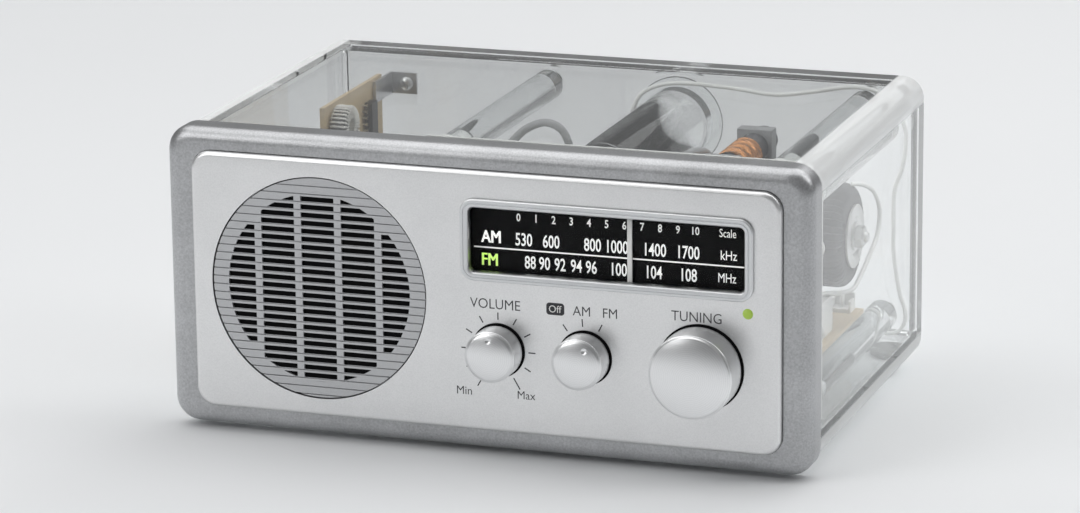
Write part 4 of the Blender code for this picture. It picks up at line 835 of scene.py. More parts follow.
# The washers under the knobs are painted shadow.
tell(knob("volume_knob", 0.0), knob("band_knob", math.radians(30)), knob("tuning_knob"), felts())

# %% [markdown]
# ## Growing repeated pieces
#
# A Geometry Nodes group repeats a shape far more cheaply than modelling each copy. `Growth` makes a group
# with named inputs for its sizes, so that the same group could be tried with other numbers in the modifier
# panel. The result is then turned into a plain mesh.

# %% Geometry Nodes helper


class Growth(Graph):
    """A Geometry Nodes group; its keyword arguments become named inputs with those values."""

    def __init__(self, name, places=(), **inputs):
        super().__init__(bpy.data.node_groups.new(name, "GeometryNodeTree"))
        self.places = places
        self.values = {}
        ports = self.tree.interface
        ports.new_socket("Geometry", in_out="INPUT", socket_type="NodeSocketGeometry")
        ports.new_socket("Geometry", in_out="OUTPUT", socket_type="NodeSocketGeometry")
        for key, value in inputs.items():
            kind = "NodeSocketInt" if isinstance(value, int) else "NodeSocketFloat"
            socket = ports.new_socket(key.replace("_", " ").capitalize(), in_out="INPUT", socket_type=kind)
            self.values[socket.identifier] = value
        entry = self.tree.nodes.new("NodeGroupInput")
        self.points = Signal(self, entry.outputs[0])
        self.input = {key: Signal(self, entry.outputs[k + 1]) for k, key in enumerate(inputs)}

    def vector(self, x=0.0, y=0.0, z=0.0):
        return self.node("ShaderNodeCombineXYZ", {}, {0: x, 1: y, 2: z})

    def seats(self):
        """An object with one vertex for each place."""
        mesh = bpy.data.meshes.new(self.tree.name)
        mesh.from_pydata(self.places, [], [])
        obj = bpy.data.objects.new(self.tree.name, mesh)
        bpy.context.scene.collection.objects.link(obj)
        return obj

    def spread(self, points, shape, turn=(0, 0, 0), scale=(1, 1, 1)):
        """The shape, set on each point."""
        return self.node("GeometryNodeInstanceOnPoints", {},
                         {"Points": points, "Instance": shape, "Rotation": turn, "Scale": scale})

    def swept(self, curve, profile):
        return self.node("GeometryNodeCurveToMesh", {}, {0: curve, 1: profile, "Fill Caps": True})

    def circle(self, radius, sides):
        return self.node("GeometryNodeCurvePrimitiveCircle", {"mode": "RADIUS"},
                         {"Resolution": sides, "Radius": radius})

    def grow(self, geometry, finish, angle=30, base=None):
        """End the group, evaluate it on its places or on a base, and keep the result as a plain mesh."""
        whole = self.node("GeometryNodeRealizeInstances", {}, {0: geometry})
        painted = self.node("GeometryNodeSetMaterial", {}, {0: whole, "Material": finishes[finish]})
        self.feed(self.tree.nodes.new("NodeGroupOutput").inputs[0], painted)
        obj = base or self.seats()
        modifier = obj.modifiers.new("growth", "NODES")
        modifier.node_group = self.tree
        for identifier, value in self.values.items():
            modifier[identifier] = value
        return settle(obj, angle)


print("growth helper ready")

# %% [markdown]
# ## The loudspeaker grille
#
# The grille is a disc pierced by rows of slots between four ribs. The slots stop on a circle, and below
# each row a scored line runs on across the border to the edge. The group lays cutters on a grid, drops
# those that would leave a sliver, trims the rest to the circle and takes them out of the disc. Pitch, rib
# and slot can be changed by name. The disc itself is thin, as sheet is, so that the slots look dark from
# above, and black cloth is glued behind it.

# %% Pierced grille
(_, grille_face, _), (_, grille_back, _) = sizes("speaker_grille")
GRILLE_OPEN, SLAT_PITCH, SLOT_HEIGHT, SHORTEST_SLOT = 34.5, 2.95, 2.0, 1.4
RIB_PITCH, RIB_WIDTH, SCORE, GRILLE_SHEET = 15.2, 2.6, 0.45, 1.0


def slot_cutters(g, thick):
    """Bars on a grid, trimmed to the open circle."""
    pitch, bay, count, opening = (g.input[key] for key in ("pitch", "bay", "rows", "opening"))
    wide = bay - g.input["rib"]
    spacing = {"Size X": bay * 4.0, "Size Y": pitch * (count - 1.0), "Vertices X": 5, "Vertices Y": count}
    grid = g.node("GeometryNodeMeshGrid", {}, spacing)
    x, y, _ = g.split(g.node("GeometryNodeInputPosition"))
    chord = (opening * opening - y * y).math("MAXIMUM", 0.0).math("SQRT")
    sliver = (chord - x.math("ABSOLUTE") + wide * 0.5).math("LESS_THAN", SHORTEST_SLOT * mm)
    seats = g.node("GeometryNodeDeleteGeometry", {"domain": "POINT"}, {0: grid, "Selection": sliver})
    bar = g.node("GeometryNodeMeshCube", {}, {"Size": g.vector(wide, g.input["slot"], thick * 3)})
    bars = g.node("GeometryNodeRealizeInstances", {}, {0: g.spread(seats, bar)})
    drum = g.node("GeometryNodeMeshCylinder", {}, {"Vertices": 128, "Radius": opening, "Depth": thick * 2})
    slots = g.node("GeometryNodeMeshBoolean", {"operation": "INTERSECT", "solver": "EXACT"}, {1: bars})
    g.tree.links.new(drum.socket, slots.socket.node.inputs[1])
    return slots


def score_cutters(g, thick):
    """Narrow bars lying in the front face, along the lower edge of each row of slots."""
    pitch, count = g.input["pitch"], g.input["rows"]
    reach = pitch * (count - 1.0) * 0.5
    start = g.vector(0, reach * -1.0 - g.input["slot"] * 0.5, thick / 2)
    end = g.vector(0, reach - g.input["slot"] * 0.5, thick / 2)
    line = g.node("GeometryNodeMeshLine", {"mode": "END_POINTS"},
                  {"Count": count, "Start Location": start, "Offset": end})
    bar = g.node("GeometryNodeMeshCube", {}, {"Size": (3 * GRILLE_RADIUS * mm, SCORE * mm, 1.5 * thick)})
    return g.node("GeometryNodeRealizeInstances", {}, {0: g.spread(line, bar)})


def grille():
    g = Growth("pierced_grille", pitch=SLAT_PITCH * mm, slot=SLOT_HEIGHT * mm, rib=RIB_WIDTH * mm,
               bay=RIB_PITCH * mm, opening=GRILLE_OPEN * mm, radius=(GRILLE_RADIUS - 0.2) * mm,
               rows=2 * int(GRILLE_RADIUS / SLAT_PITCH) + 1)
    thick = GRILLE_SHEET * mm
    pierced = g.node("GeometryNodeMeshCylinder", {},
                     {"Vertices": 192, "Radius": g.input["radius"], "Depth": thick})
    for cutter in (slot_cutters(g, thick), score_cutters(g, thick)):
        pierced = g.node("GeometryNodeMeshBoolean", {"operation": "DIFFERENCE", "solver": "EXACT"},
                         {0: pierced, 1: cutter})
    obj = g.grow(pierced, "grille", 3)
    centre = at(GRILLE_X, grille_face + GRILLE_SHEET / 2, 0)
    obj.data.transform(Matrix.Translation(centre) @ Matrix.Rotation(math.pi / 2, 4, "X"))
    return carry(obj, "grille", ["speaker_grille"])


def scrim():
    """Black cloth on a black pad behind the grille, which also shows as a fine dark line round the disc."""
    front = grille_face + GRILLE_SHEET + 0.05
    bm = bmesh.new()
    turned(bm, [(0, front), (GRILLE_OPEN + 3, front), (GRILLE_OPEN + 3, grille_back - 0.4),
                (GRILLE_RADIUS, grille_back - 0.4), (GRILLE_RADIUS, grille_back), (0, grille_back)],
           at(GRILLE_X, 0, 0), sides=96)
    return carry(shaped("grille_scrim", bm), "cloth")


tell(grille(), scrim())

# %% [markdown]
# ## The dial window
#
# A satin rim with a fine groove frames the window. Its section is carried round the rounded opening, ring
# by ring. The lens behind it is a thin clear sheet, and its edge is blacked so that it doesn't mirror the
# print.

# %% Rim and lens


def dial_rim():
    face = rim_face
    section = [(0, rim_back), (0, face + 0.7), (0.25, face + 0.25), (0.5, face + 0.08), (0.75, face),
               (1.35, face), (1.5, face + 0.35), (1.8, face + 0.35), (1.95, face + 0.05),
               *arc((DIAL_RIM - 0.55, face + 0.55), 0.55, -90, 0, 6), (DIAL_RIM, -GAP),
               (DIAL_LIP, -GAP), (DIAL_LIP, rim_back)]
    layers = []
    for margin, depth in section:
        wide, tall = DIAL_WIDTH + 2 * margin, DIAL_HEIGHT + 2 * margin
        layers.append((rounded(wide, tall, DIAL_RADIUS + margin, DIAL_X, DIAL_Z, 10), depth))
    bm = bmesh.new()
    stacked(bm, layers, closed=True)
    return carry(shaped("dial_rim", bm, 40), "rim", ["dial_frame"])


def dial_window():
    edge = 0.25
    layers = []
    edges = ((edge, lens_face), (0, lens_face + edge), (0, lens_back - edge), (edge, lens_back))
    for inset, depth in edges:
        wide, tall = DIAL_WIDTH - 2 * GAP - 2 * inset, DIAL_HEIGHT - 2 * GAP - 2 * inset
        layers.append((rounded(wide, tall, DIAL_RADIUS - inset, DIAL_X, DIAL_Z, 8), depth))
    bm = bmesh.new()
    stacked(bm, layers)
    obj = carry(shaped("dial_window", bm), "lens", ["dial_lens"])
    obj.data.materials.append(finishes["dial"])
    for face in obj.data.polygons:
        face.material_index = int(abs(face.normal.y) < 0.5)
    return obj


tell(dial_rim(), dial_window())

# %% [markdown]
# ## Printed lettering
#
# The dial is reverse-printed in white on black and the plate in thin dark ink. Blender's own typeface is
# close enough once each word is stretched to its real width and height. All words of one colour become one
# thin mesh that stands a few hundredths of a millimetre above its surface, as ink does.

# %% Lettering helper


def word_mesh(text, weight):
    """A word as a flat mesh with a little thickness."""
    curve = bpy.data.curves.new("word", "FONT")
    curve.body = text
    curve.resolution_u = 3
    curve.extrude = 0.01
    curve.offset = weight
    word = bpy.data.objects.new("word", curve)
    bpy.context.scene.collection.objects.link(word)
    mesh = bpy.data.meshes.new_from_object(word.evaluated_get(bpy.context.evaluated_depsgraph_get()))
    bpy.data.objects.remove(word)
    return mesh


def print_words(bm, words, depth, weight=0.0, thick=0.05):
    """Add (text, x, height, letter height, squeeze) words to a bmesh, in millimetres, facing forward."""
    for text, x, height, tall, squeeze in words:
        mesh = word_mesh(text, weight)
        low = Vector(min(v.co[k] for v in mesh.vertices) for k in range(3))
        span = Vector(max(v.co[k] for v in mesh.vertices) for k in range(3)) - low
        wide = span.x * tall / span.y * squeeze
        for vertex in mesh.vertices:
            share = [(vertex.co[k] - low[k]) / span[k] for k in range(3)]
            vertex.co = at(x + (share[0] - 0.5) * wide, depth - thick * share[2],
                           height + (share[1] - 0.5) * tall)
        bm.from_mesh(mesh)
        bpy.data.meshes.remove(mesh)


def inked(name, bm, finish):
    return carry(shaped(name, bm), finish)


print("lettering helper ready")

# %% Dial scale
SCALE_DEPTH = sizes("dial_scale")[0][1]
LOGGING_Z, AM_Z, DIVIDER_Z, FM_Z = 30.5, 22.6, 18.8, 14.5
DIGIT_SQUEEZE, BOLD = 0.66, (-0.16, 0.16)
AM_MARKS = {"530": 14.5, "600": 24.6, "800": 39.8, "1000": 49.0, "1400": 62.8, "1700": 74.9}
FM_MARKS = {"88": 16.8, "90": 22.1, "92": 27.8, "94": 33.8, "96": 39.3, "100": 49.6, "104": 62.4,
            "108": 75.0}
LOGGING_START, LOGGING_STEP = 12.6, 6.48
INK = 0.05


def dial_words():
    marks = [(str(k), LOGGING_START + LOGGING_STEP * k, LOGGING_Z, 2.9, 0.8) for k in range(11)]
    marks += [(text, x, AM_Z, 4.7, DIGIT_SQUEEZE) for text, x in AM_MARKS.items()]
    marks += [(text, x, FM_Z, 4.7, DIGIT_SQUEEZE) for text, x in FM_MARKS.items()]
    units = [("Scale", 88.9, LOGGING_Z, 3.0, 0.72), ("kHz", 89.3, AM_Z, 3.3, 0.78),
             ("MHz", 88.7, FM_Z, 3.3, 0.72)]
    bm = bmesh.new()
    print_words(bm, marks, SCALE_DEPTH, weight=0.012)
    print_words(bm, units, SCALE_DEPTH)
    print_words(bm, [("AM", 2.3 + shift, AM_Z + 0.2, 4.4, 0.8) for shift in BOLD], SCALE_DEPTH)
    left, right = DIAL_X - DIAL_WIDTH / 2, DIAL_X + DIAL_WIDTH / 2
    low, high = DIVIDER_Z - 0.25, DIVIDER_Z + 0.25
    slab(bm, [(left, low), (right, low), (right, high), (left, high)], SCALE_DEPTH - INK, SCALE_DEPTH)
    # The white dial print carries a painted glow.
    inked("dial_print", bm, "dial_ink")
    bm = bmesh.new()
    print_words(bm, [("FM", 1.8 + shift, FM_Z, 4.4, 0.8) for shift in BOLD], SCALE_DEPTH)
    inked("dial_lit_legend", bm, "lit")
    return len(marks) + len(units) + 2


print("words on the dial:", dial_words())

# %% Plate print
LABEL_Z, END_Z = -0.2, -32.7
BADGE = (27.6, LABEL_Z, 6.6, 4.4)


def plate_words():
    words = [("VOLUME", 5.3, LABEL_Z, 3.6, 0.92), ("AM", 37.2, LABEL_Z, 3.4, 0.92),
             ("FM", 47.7, LABEL_Z, 3.4, 0.92), ("TUNING", 79.1, 1.1, 3.6, 0.92),
             ("Min", -6.6, END_Z, 2.9, 0.95), ("Max", 16.6, END_Z, 2.9, 0.95)]
    bm = bmesh.new()
    print_words(bm, words, 0, weight=-0.006)
    x, z, wide, tall = BADGE
    slab(bm, rounded(wide, tall, 1.1, x, z, 6), -INK, 0)
    inked("plate_print", bm, "ink")
    bm = bmesh.new()
    print_words(bm, [("Off", x, z, 2.6, 0.95)], -INK, thick=0.03)
    inked("badge_print", bm, "white_ink")
    return len(words) + 1


print("words on the plate:", plate_words())

# %% [markdown]
# Ticks stand round the two small knobs: eleven for the volume, with longer ends, and three for the band
# switch. One group places them by angle.

# %% Ticks round the knobs
TICK_WIDTH, TICK_START = 0.42, 11.2


def ticks(name, x, count, first, step, inner, length):
    """Ticks at even angles from straight up, in degrees, starting `inner` from a knob's axis."""
    g = Growth(name, count=count, first=math.radians(first), step=math.radians(step),
               reach=(inner + length / 2) * mm, length=length * mm, width=TICK_WIDTH * mm)
    turn = g.node("GeometryNodeInputIndex") * g.input["step"] + g.input["first"]
    row = g.node("GeometryNodeMeshLine", {}, {"Count": g.input["count"]})
    place = g.vector(turn.math("SINE") * g.input["reach"], 0.0, turn.math("COSINE") * g.input["reach"])
    places = g.node("GeometryNodeSetPosition", {}, {0: row, "Position": place})
    mark = g.node("GeometryNodeMeshCube", {},
                  {"Size": g.vector(g.input["width"], INK * mm, g.input["length"])})
    obj = g.grow(g.spread(places, mark, g.vector(0.0, turn, 0.0)), "ink")
    obj.data.transform(Matrix.Translation(at(x, -INK / 2, CONTROL_Z)))
    return carry(obj, "ink")


tell(ticks("volume_ticks", CONTROL_X["volume"], 9, -120, 30, TICK_START, 2.6),
     ticks("volume_end_ticks", CONTROL_X["volume"], 2, -150, 300, TICK_START, 4.6),
     ticks("band_ticks", CONTROL_X["band"], 3, -35, 31, TICK_START, 2.8))

# %% [markdown]
# ## The clear cabinet
#
# The cabinet is one thick acrylic tube with polished round corners, closed by a clear back. Each cut edge
# gets a small polished bevel, because an edge without one shows no bright line. Four clear rods tie the
# back to the white chassis behind the front, and a clear port lets the loudspeaker breathe through the
# back.

# %% Tube and back
(_, tube_start, _), (tube_right, tube_end, tube_top) = sizes("cabinet_shell")
(_, port_mouth, _), (_, port_end, _) = sizes("port_tube")
(jack_left, jack_start, jack_bottom), (jack_right, jack_face, jack_top) = sizes("jack_plate")
PORT_LIP = radius_of("port_tube")
PORT_RADIUS, PORT_BORE = PORT_LIP - 4.0, PORT_LIP - 6.0
JACK_X, _, JACK_Z = centre_of("jack_plate")
TUBE_RADIUS, ROOM_RADIUS, POLISH = 8, 0.6, 0.6


def tube():
    """Outer and inner outlines joined into one ring-shaped section, run from front to back."""
    edges = ((POLISH, tube_start), (0, tube_start + POLISH), (0, tube_end - POLISH), (POLISH, tube_end))
    layers = []
    for inset, depth in edges:
        outline = rounded(2 * (tube_right - inset), 2 * (tube_top - inset), TUBE_RADIUS - inset)
        layers.append((outline, depth))
    for inset, depth in reversed(edges):
        outline = rounded(2 * (ROOM_RIGHT + inset), 2 * (ROOM_TOP + inset), ROOM_RADIUS + inset)
        layers.append((outline, depth))
    bm = bmesh.new()
    stacked(bm, layers, closed=True)
    return carry(shaped("acrylic_tube", bm), "tube", ["cabinet_shell"])


def back():
    """The clear back, with a hole for the port and a window behind the jack plate."""
    edges = ((POLISH, panel_face), (0, panel_face + POLISH), (0, tube_end - POLISH), (POLISH, tube_end))
    bm = bmesh.new()
    stacked(bm, [(rounded(2 * (panel_right - inset), 2 * (panel_top - inset), 1.0, steps=4), depth)
                 for inset, depth in edges])
    obj = shaped("acrylic_back", bm)
    start, end = panel_face - 2, tube_end + 2
    window = rounded(jack_right - jack_left - 8, jack_top - jack_bottom - 8, 2.0, JACK_X, JACK_Z, 5)
    bm = bmesh.new()
    drill(bm, PORT_RADIUS + GAP, start, end, axle("port_tube"), 64)
    slab(bm, window, start, end)
    carve(obj, bm)
    return carry(obj, "clear", ["back_panel"])


tell(tube(), back())

# %% Rods, port and feet
ROD_BORE, ROD_BORE_DEPTH, ROD_EDGE = 4.8, 14.3, 0.4


def tie_rod(node):
    """A polished rod, bored at its front end for the chassis's plug."""
    (_, start, _), (_, end, _) = sizes(node)
    radius, blind = radius_of(node), start + ROD_BORE_DEPTH
    bm = bmesh.new()
    turned(bm, [(0, blind), (ROD_BORE, blind), (ROD_BORE, start), (radius - ROD_EDGE, start),
                (radius, start + ROD_EDGE), (radius, end - ROD_EDGE), (radius - ROD_EDGE, end), (0, end)],
           axle(node), sides=48)
    return carry(shaped(node + "_polished", bm), "rod", [node])


def port():
    """A clear tube with a round mouth and a lip that lies on the back."""
    bm = bmesh.new()
    lip = tube_end + GAP
    turned(bm, [*arc((PORT_BORE + 0.99, port_mouth + 0.99), 0.99, 180, 360, 8), (PORT_RADIUS, lip),
                (PORT_LIP, lip), *arc((PORT_LIP - 0.8, port_end - 0.8), 0.8, 0, 90, 5),
                (PORT_BORE + 1.6, port_end), *arc((PORT_BORE + 1.6, port_end - 1.6), 1.6, 90, 180, 6)],
           axle("port_tube"), sides=64, closed=True)
    return carry(shaped("port_moulded", bm), "rod", ["port_tube"])


def foot(node):
    """A rubber foot with a round edge and a dished sole."""
    (_, _, low), (_, _, high) = sizes(node)
    radius, tall, (x, depth, _) = radius_of(node), high - low, centre_of(node)
    profile = [(0, 0.35), (radius * 0.45, 0.35), (radius * 0.5, 0), (radius - 0.9, 0),
               *arc((radius - 0.9, 0.9), 0.9, -90, 0, 5), (radius, tall), (0, tall)]
    bm = bmesh.new()
    turned(bm, profile, at(x, depth, low), "z", 48)
    return carry(shaped(node + "_moulded", bm), "rubber", [node])


for node in frame["nodes"]:
    if node.startswith("tie_rod"):
        tell(tie_rod(node))
    elif node.startswith("foot"):
        tell(foot(node))
tell(port())

# %% [markdown]
# ## The lamp
#
# The tuning lamp is a small green light-emitting diode: a cylinder with a domed end, standing a little
# proud of the plate.

# %% Lamp


def led():
    (_, front, _), (_, end, _) = sizes("tuning_lamp")
    radius = radius_of("tuning_lamp")
    turns = [math.pi / 2 * k / 8 for k in range(1, 9)]
    dome = [(radius * math.sin(t), front + radius * (1 - math.cos(t))) for t in turns]
    bm = bmesh.new()
    turned(bm, [(0, front), *dome, (radius, end), (0, end)], axle("tuning_lamp"), sides=32)
    return carry(shaped("lamp_diode", bm), "lamp", ["tuning_lamp"])


tell(led())

# %% [markdown]
# ## The loudspeaker
#
# A pressed steel basket holds a black paper cone, with a ferrite ring magnet between two steel plates
# behind it. All but the windows in the basket are turned shapes. The surround is a half-roll of rubber.

# %% Basket, magnet and yoke
SPEAKER = at(GRILLE_X, 0, 0)
MAGNET_HOLE = 11.0


def basket():
    """A flanged pot with four windows in its side."""
    (_, front, _), (_, end, _) = sizes("speaker_basket")
    radius, sheet, floor, edge = radius_of("speaker_basket"), 2.0, 23.0, 0.4
    mouth = radius - 6.0
    bm = bmesh.new()
    turned(bm, [(mouth, front), (radius - edge, front), (radius, front + edge),
                (radius, front + sheet - edge), (radius - edge, front + sheet),
                (mouth + 0.4, front + sheet), (mouth - 0.4, front + sheet + 0.8),
                (floor + 0.5, end - sheet - 0.6), (floor, end - 0.5), (floor - 0.5, end),
                (MAGNET_HOLE, end), (MAGNET_HOLE, end - sheet), (floor - sheet, end - sheet),
                (mouth - sheet, front + sheet)], SPEAKER, sides=96, closed=True)
    obj = shaped("basket_pressed", bm)
    bm = bmesh.new()
    window = rounded(18, end - front - 10, 2.5, 0, (front + end) / 2 + 1, 4)
    for k in range(4):
        turn = Matrix.Rotation(math.pi / 2 * k, 3, "Y")
        loft(bm, [[SPEAKER + turn @ Vector((x * mm, depth * mm, reach * mm)) for x, depth in window]
                  for reach in (12, radius + 5)])
    carve(obj, bm)
    return carry(obj, "steel", ["speaker_basket"])


def magnet(edge=0.8):
    """A ferrite ring with round edges."""
    (_, front, _), (_, end, _) = sizes("speaker_magnet")
    flat = radius_of("speaker_magnet") - edge
    bm = bmesh.new()
    turned(bm, [(MAGNET_HOLE, front), (flat, front), *arc((flat, front + edge), edge, -90, 0, 4)[1:],
                *arc((flat, end - edge), edge, 0, 90, 4), (MAGNET_HOLE, end)],
           SPEAKER, sides=96, closed=True)
    return carry(shaped("speaker_magnet_turned", bm), "ferrite", ["speaker_magnet"])


def yoke():
    """A pole on a round plate behind the magnet."""
    (_, front, _), (_, end, _) = sizes("speaker_yoke")
    radius, pole, flange = radius_of("speaker_yoke"), 8.5, end - 3.0
    bm = bmesh.new()
    turned(bm, [(0, front), (pole, front), (pole, flange), (radius - 0.5, flange), (radius, flange + 0.5),
                (radius, end - 0.8), (radius - 0.8, end), (pole, end), (pole - 0.6, end - 0.6),
                (0, end - 0.6)], SPEAKER, sides=96)
    return carry(shaped("yoke_turned", bm), "steel", ["speaker_yoke"])


tell(basket(), magnet(), yoke())

# %% Surround and cone
THROAT = sizes("speaker_basket")[1][1] - 6.0


def surround():
    """A half-roll between the cone and the basket."""
    end = sizes("speaker_surround")[1][1]
    outer, inner = radius_of("speaker_surround"), radius_of("speaker_cone") + GAP
    roll = (outer - inner) / 2
    bm = bmesh.new()
    turned(bm, [(inner, end), *arc(((inner + outer) / 2, end - 0.3), roll, 180, 360, 12), (outer, end)],
           SPEAKER, sides=96, closed=True)
    return carry(shaped("surround_roll", bm), "rubber", ["speaker_surround"])


def cone():
    """A flared paper cone with a domed cap and a coil former behind it."""
    (_, rim, _), (_, end, _) = sizes("speaker_cone")
    radius, coil, sheet = radius_of("speaker_cone"), 9.8, 0.8
    turns = [math.pi / 2 * k / 8 for k in range(9)]
    cap = [(coil * 0.98 * math.sin(t), THROAT - 4.0 * math.cos(t)) for t in turns]
    flare = []
    for k in range(9):
        share = k / 8
        flare.append((coil + sheet + (radius - coil - sheet) * share,
                      THROAT - sheet + (rim - THROAT + sheet) * share ** 0.8))
    outside = [(r, d + sheet) for r, d in reversed(flare)]
    bm = bmesh.new()
    turned(bm, [(0, cap[0][1]), *cap[1:], *flare, *outside, (coil, THROAT + sheet), (coil, end),
                (coil - sheet, end), (coil - sheet, THROAT + sheet), (0, THROAT - 2.5)], SPEAKER, sides=96)
    return carry(shaped("cone_pressed", bm), "paper", ["speaker_cone"], body="cone")


tell(surround(), cone())

# %% [markdown]
# ## The dial drive
#
# Behind the front a white moulded chassis carries the dial drum, two idlers and the cord, and the sockets
# that the rods push on to. The drum is dished to save plastic, and the idlers are small grooved wheels.
# Each wheel rides on its own body, so it turns with the tuning knob.

# %% Chassis
CHASSIS_FRONT, CHASSIS_SHEET, PIN_FACE = 32.0, 1.5, 24.2
RODS = [n for n in frame["nodes"] if n.startswith("tie_rod")]
ROD_START = sizes("tie_rod_upper_left")[0][1]
POST_X = centre_of(RODS[0])[0] + 12
POSTS = ((POST_X, 35), (POST_X, -35), (104, 20), (104, -10))
CORD_DEPTH = centre_of("idler_left")[1]


def chassis_blank():
    """The flat of the chassis, with holes for two shafts and two slots for air."""
    (left, _, low), (right, _, high) = sizes("tuner_chassis")
    x, _, z = centre_of("tuner_chassis")
    bm = bmesh.new()
    outline = rounded(right - left, high - low, 1.2, x, z, 4)
    slab(bm, outline, CHASSIS_FRONT, CHASSIS_FRONT + CHASSIS_SHEET)
    obj = shaped("chassis_moulded", bm)
    start, end = CHASSIS_FRONT - 2, CHASSIS_FRONT + 4
    bm = bmesh.new()
    for place in (at(CONTROL_X["tuning"], 0, CONTROL_Z), axle("dial_drum")):
        drill(bm, 3.2, start, end, place)
    for x in (48.0, 62.0):
        slab(bm, rounded(10, 26, 2.5, x, -26, 4), start, end)
    carve(obj, bm)
    return obj


def chassis():
    """The flat with its posts, its two idler pins and the plugs that the rods push on to."""
    (_, seat, _), (_, end, _) = sizes("tuner_chassis")
    root = CHASSIS_FRONT + CHASSIS_SHEET / 2
    obj = chassis_blank()
    bm = bmesh.new()
    for x, z in POSTS:
        turned(bm, [(0, seat), (2.9, seat), (3.2, seat + 0.3), (3.2, CHASSIS_FRONT - 1),
                    (4.2, CHASSIS_FRONT), (4.2, root), (0, root)], at(x, 0, z), sides=32)
    for node in ("idler_left", "idler_right"):
        turned(bm, [(0, PIN_FACE), (2.1, PIN_FACE), (2.4, PIN_FACE + 0.3), (2.4, PIN_FACE + 1),
                    (1.2, PIN_FACE + 1), (1.2, root), (0, root)], axle(node), sides=24)
    for node in RODS:
        turned(bm, [(0, root), (6.8, root), (6.8, ROD_START - 0.8), (6.3, ROD_START - GAP),
                    (4.5, ROD_START - GAP), (4.5, end - 0.6), (3.9, end), (0, end)], axle(node), sides=48)
    carve(obj, bm, "UNION")
    return carry(obj, "white", ["tuner_chassis"])


tell(chassis())

# %% Drum and idlers


def wheel(node, body, finish, hole=0.0, tail=0.0):
    """A grooved wheel, dished between hub and rim when it is large."""
    edge, half, groove, bevel = radius_of(node), 2.5, 1.0, 0.35
    floor = edge - 2.0
    face = [(hole, -half)]
    if edge > 10:
        face += [(5.5, -half), (6.2, -half + 1.3), (edge - 4.6, -half + 1.3), (edge - 3.8, -half)]
    profile = [*face, (edge - bevel, -half), (edge, -half + bevel), (edge, -groove - 0.4), (floor, -groove),
               (floor, groove), (edge, groove + 0.4), (edge, half - bevel), (edge - bevel, half)]
    if tail:
        profile += [(2.9, half), (2.9, tail - 0.3), (2.6, tail), (0, tail)]
    else:
        profile += [(hole, half)]
    x, _, z = centre_of(node)
    bm = bmesh.new()
    turned(bm, profile, at(x, CORD_DEPTH, z), sides=96 if tail else 48, closed=not tail)
    return carry(shaped(node + "_turned", bm), finish, [node], body=body)


drum_tail = sizes("dial_drum")[1][1] - CORD_DEPTH
tell(wheel("dial_drum", "drum", "grey", tail=drum_tail), wheel("idler_left", "left_idler", "white", 1.5),
     wheel("idler_right", "right_idler", "white", 1.5))

# %% Tuning capacitor, volume control and band switch


def variable_capacitor():
    """A square case with a bore for the drum's spindle and four trimmer holes behind."""
    (left, front, _), (right, end, _) = sizes("tuning_capacitor")
    x, _, z = centre_of("tuning_capacitor")
    side, trimmer = right - left, 6.5
    edges = ((0.5, front), (0, front + 0.5), (0, end - 0.8), (0.8, end))
    bm = bmesh.new()
    stacked(bm, [(rounded(side - 2 * inset, side - 2 * inset, 1.6, x, z, 5), depth)
                 for inset, depth in edges])
    obj = shaped("capacitor_case", bm)
    bm = bmesh.new()
    drill(bm, 3.2, front - 2, front + 3.3, at(x, 0, z))
    for sx, sz in ((1, 1), (-1, 1), (-1, -1), (1, -1)):
        drill(bm, 2.2, end - 1.2, end + 1, at(x + trimmer * sx, 0, z + trimmer * sz), 24)
    carve(obj, bm)
    return carry(obj, "white", ["tuning_capacitor"])


def control_can(node):
    """A crimped steel can with a threaded neck through the web and a nut's flange."""
    (_, front, _), (_, end, _) = sizes(node)
    radius, seat, neck, bore = radius_of(node), 6.6, 4.4, 3.2
    thread = []
    for k in range(9):
        depth = front + 0.3 + 0.5 * k
        thread += [(neck, depth), (neck - 0.2, depth + 0.25)]
    blind = seat + 3.0
    bm = bmesh.new()
    turned(bm, [(0, blind), (bore, blind), (bore, front), (neck - 0.3, front), *thread, (neck, seat),
                (radius - 0.8, seat), (radius, seat + 0.8), (radius, seat + 3.4),
                (radius - 0.5, seat + 3.6), (radius - 0.5, end - 0.9), (radius - 1.4, end), (0, end)],
           axle(node), sides=64)
    return carry(shaped(node + "_crimped", bm), "steel", [node])


tell(variable_capacitor(), control_can("volume_pot"), control_can("band_switch"))

# %% [markdown]
# ## Windings and wrappings
#
# Coils are where Geometry Nodes earn their place. One group winds a loop of wire round a ring as often as
# its number of turns says, another lays a close helix on the aerial's ferrite bar, and a third lifts the
# skin of the mains transformer step by step into overlapping turns of tape.

# %% Choke and aerial coil


def ring_winding(name, turns, low, high, wide, wire):
    """Loops of wire round a ring whose hole has radius `low` and rim radius `high`, about the x axis."""
    g = Growth(name, turns=turns, hole=low * mm, rim=high * mm, width=wide * mm, wire=wire * mm)
    hole, rim, wire_radius = g.input["hole"], g.input["rim"], g.input["wire"]
    span = {"Width": g.input["width"] - wire_radius * 2.0, "Height": rim - hole - wire_radius * 2.0}
    loop = g.node("GeometryNodeCurvePrimitiveQuadrilateral", {"mode": "RECTANGLE"}, span)
    loop = g.node("GeometryNodeFilletCurve", {"mode": "POLY"}, {0: loop, "Count": 3, "Radius": 0.9 * mm})
    strand = g.swept(loop, g.circle(wire_radius, 8))
    stand = g.node("GeometryNodeTransform", {},
                   {0: strand, "Translation": g.vector(0.0, (rim + hole) * 0.5, 0.0)})
    seats = g.node("GeometryNodeMeshLine", {}, {"Count": g.input["turns"], "Offset": (0, 0, 0)})
    turn = g.node("GeometryNodeInputIndex") * (2 * math.pi) / g.input["turns"]
    return g, g.spread(seats, stand, g.vector(turn, 0.0, 0.0))


